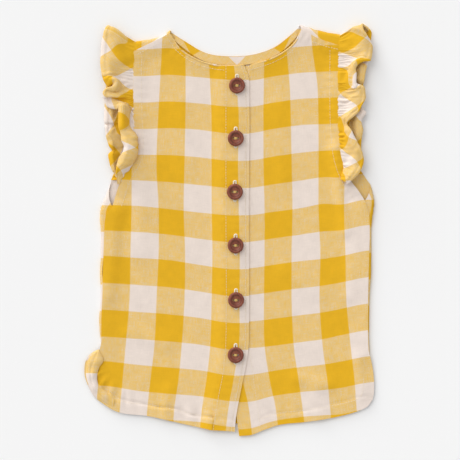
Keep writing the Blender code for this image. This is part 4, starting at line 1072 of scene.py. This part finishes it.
stitching = {
    "length": 2.0, "pitch": 2.6, "radius": 0.2, "above": 0.12,
    # armhole, neck, shoulder and hem of each front
    "over": [
        [(-81.6, 165), (-81.8, 120), (-81, 95), (-80, 76), (-83.5, 62), (-90.5, 50), (-95, 39), (-100.5, 22)],
        [(-58, 179), (-48, 166), (-31.5, 155), (-14, 150), (-5, 149)],
        [(-86, 163.5), (-76.5, 168.5), (-63, 175)],
        [(-112, -149), (-98.5, -159.3), (-73.5, -162.2), (-39.5, -169.8), (-14.5, -175)],
    ],
    "under": [
        [(93.5, 168), (93.4, 120), (94, 95), (96, 72), (100, 56), (106, 43), (112.5, 34), (118.5, 24)],
        [(20, 149.5), (37.5, 155), (51.5, 162), (61, 170), (68.5, 182)],
        [(76.6, 175.5), (89, 171.2), (101.8, 168.2)],
        [(29, -175.5), (45, -170.3), (68.5, -167.6), (100, -162.3), (120, -156.5), (124, -150),
         (124.5, -138)],
    ],
    "bands": [(moved(overlap["stitching"], 1.2), levels["overBand"]),
              (moved(overlap["edge"], -3.2), levels["overBand"] - 0.5),
              (moved(underlap["stitching"], -1.2), levels["underBand"])],
}


def makeStitching(spec):
    # each line lies on the front's height, those of the bands on the band's level
    runs = []
    for lines, front, seamLevel in ((spec["over"], overlap, levels["overSeam"]),
                                    (spec["under"], underlap, levels["underSeam"])):
        for line in lines:
            line = smoothPath(line, 200)
            runs.append((line, frontHeight(*line.T, front, seamLevel) + wall / 2 + spec["above"]))
    for line, level in spec["bands"]:
        line = smoothPath(line, 240)
        runs.append((line, np.full(len(line), level + bandWall / 2 + 0.1)))
    parts = [stitches(np.column_stack(run), spec["length"], spec["pitch"], spec["radius"]) for run in runs]
    return makePiece("topstitching", *gathered(parts), threadPale, "gingham")


topstitching = makeStitching(stitching)


neckBinding = {"radius": 0.85, "above": 0.1, "ripple": 0.08, "rippleLength": 0.9, "sides": 10,
               # across the bias: where it starts, and how far it goes round
               "across": (15, 3)}


def makeNeckRoll(spec):
    # the facing turned over the front neck edge: a thin soft roll cut on the diagonal of the check
    overLine = joined(smoothPath([overlap["shoulder"][-1]] + overlap["neck"], 160),
                      smoothPath([overlap["neck"][-1]] + overlap["bandNeck"][1:], 24))
    underLine = smoothPath(underlap["neck"] + [underlap["shoulder"][0]], 130)
    parts, maps = [], []
    for line, bandLevel, nearBand in ((overLine, levels["overBand"] - 0.6, (overLine[:, 0] + 25) / 20),
                                      (underLine, levels["underBand"], (40 - underLine[:, 0]) / 20)):
        f = np.linspace(0, 1, len(line))
        z = levels["neck"] + (bandLevel - levels["neck"]) * np.clip(nearBand, 0, 1) + spec["above"]
        ends = np.sin(pi * np.clip(f, 0.004, 0.996)) ** 0.125
        radii = spec["radius"] * ends * (1 + spec["ripple"] * np.sin(120 * f / spec["rippleLength"]))
        points, faces, places = tube(np.column_stack([line, z]), radii, spec["sides"])
        parts.append((points, faces))
        maps.append(places)
    run, around = np.vstack(maps).T
    start, share = spec["across"]
    return makePiece("neckRoll", *gathered(parts), clothMaterial, "facing",
                     {"cloth": onBias(run, start + around * share)})


neckRoll = makeNeckRoll(neckBinding)


buttonholes = {
    "above": 10.3, "below": 8.6, "halfWidth": 1.15, "radius": 0.68, "flat": 0.6, "cells": 170,
    "ridge": 0.16, "ridgeCells": 0.75 / 0.27, "lift": 0.12,
    # the slit, a dark strip of painted shade: how far inside the top and the bottom it ends
    "slitEnds": (2.0, 1.2), "slitRadius": 0.32, "slitFlat": 0.4,
}


def makeButtonholes(spec):
    # a worked slit behind each button: an oval of satin stitch, its roll rising and falling once a stitch,
    # and inside it a dark strip of painted shade where the slit shows
    level = levels["overBand"] + bandWall / 2
    rims, slitShades = [], []
    for x, y in buttons["places"]:
        top, bottom, half = y + spec["above"], y - spec["below"], spec["halfWidth"]
        turn = np.linspace(0, 2 * pi, 17)
        oval = np.column_stack([x + half * np.cos(turn), half * np.sin(turn)
                                + np.where(np.arange(17) % 16 <= 8, top - half, bottom + half)])
        line = evenly(oval, spec["cells"])[:-1]
        turns = np.arange(len(line)) / spec["ridgeCells"]
        radii = spec["radius"] * (1 + spec["ridge"] * np.sin(2 * pi * turns))
        rims.append(tube(np.column_stack([line, np.full(len(line), level + spec["lift"])]), radii, 8,
                         spec["flat"])[:2])
        # a dark strip of painted shade along the middle of the slit
        slit = np.array([(x, top - spec["slitEnds"][0], level), (x, (top + bottom) / 2, level),
                         (x, bottom + spec["slitEnds"][1], level)])
        slitShades.append(tube(evenly(slit, 12), spec["slitRadius"], 8, spec["slitFlat"])[:2])
    return [makePiece("buttonholes", *gathered(rims), threadCream, "gingham"),
            makePiece("slitShades", *gathered(slitShades), slitShadeMaterial, "gingham")]


buttonThread = {"strands": (-0.95, -0.5, 0.0, 0.5, 0.95), "half": 1.5, "closer": 0.8, "above": 0.15,
                "stitch": (3.0, 2.99, 0.33)}


def makeButtonThread(spec):
    # strands side by side from hole to hole of each button, a little closer together at the right
    z = buttons["base"] + buttons["profile"][0][1] + spec["above"]
    parts = []
    for x, y in buttons["places"]:
        for dy in spec["strands"]:
            ends = [(x - spec["half"], y + dy, z), (x + spec["half"], y + dy * spec["closer"], z + 0.1)]
            parts.append(stitches(np.array(ends), *spec["stitch"]))
    return makePiece("buttonThread", *gathered(parts), threadMustard, "button")


sewing = makeButtonholes(buttonholes) + [makeButtonThread(buttonThread)]
print("stitching made")

# ---- what every piece rides on
pieces = [frontOver, frontUnder, placketUnder, placketOver, backPiece, neckFacing, ruffleLeft, ruffleRight,
          turnedHemPiece, topstitching, neckRoll] + sewing + buttonPieces
for piece in pieces:
    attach(piece, "root")

# ---- floor, light and camera
studio = {
    "floor": (0.90, 0.90, 0.90), "floorSize": 6.0, "sunPower": 1.33, "sunSpread": 0.9,
    "lowPower": 1.5, "lowSpread": 0.4, "lowFrom": (-0.75, 1.2, 0.20),
    "sunFrom": (-0.95, 1.1, 1.25), "sky": (1.0, 1.0, 1.0), "skyStrength": 0.67,
    "cameraHeight": 2.0, "frameWidth": 0.4278, "centre": (0.00046, 0.00028), "sensor": 36.0,
}


def makeStudio(spec):
    # a pale floor, two windows as wide suns, an even sky, and a lens straight above the middle
    half = spec["floorSize"] / 2
    mesh = bpy.data.meshes.new("floor")
    corners = [(-half, -half, 0), (half, -half, 0), (half, half, 0), (-half, half, 0)]
    mesh.from_pydata(corners, [], [(0, 1, 2, 3)])
    floor = bpy.data.objects.new("floor", mesh)
    bpy.context.scene.collection.objects.link(floor)
    shade = Shade("paleFloor", Roughness=0.9)
    shade.feed("Base Color", shade.tinted(spec["floor"], 0.99 + shade.noise(shade.spot(), 3.0) * 0.02))
    mesh.materials.append(shade.material)
    for name, part in (("window", "sun"), ("lowWindow", "low")):
        lamp = bpy.data.lights.new(name, "SUN")
        lamp.energy, lamp.angle = spec[part + "Power"], spec[part + "Spread"]
        window = bpy.data.objects.new(name, lamp)
        window.rotation_euler = Vector(spec[part + "From"]).to_track_quat("Z", "Y").to_euler()
        bpy.context.scene.collection.objects.link(window)
    world = bpy.data.worlds.new("room")
    world.use_nodes = True
    sky = world.node_tree.nodes["Background"].inputs
    sky[0].default_value, sky[1].default_value = (*spec["sky"], 1), spec["skyStrength"]
    bpy.context.scene.world = world
    lens = bpy.data.cameras.new("camera")
    lens.sensor_width = spec["sensor"]
    lens.lens = spec["sensor"] * spec["cameraHeight"] / spec["frameWidth"]
    camera = bpy.data.objects.new("camera", lens)
    camera.location = (*spec["centre"], spec["cameraHeight"] + 0.004)
    bpy.context.scene.collection.objects.link(camera)
    bpy.context.scene.camera = camera
    bpy.context.scene.view_settings.view_transform = "Standard"


makeStudio(studio)
print("studio made")
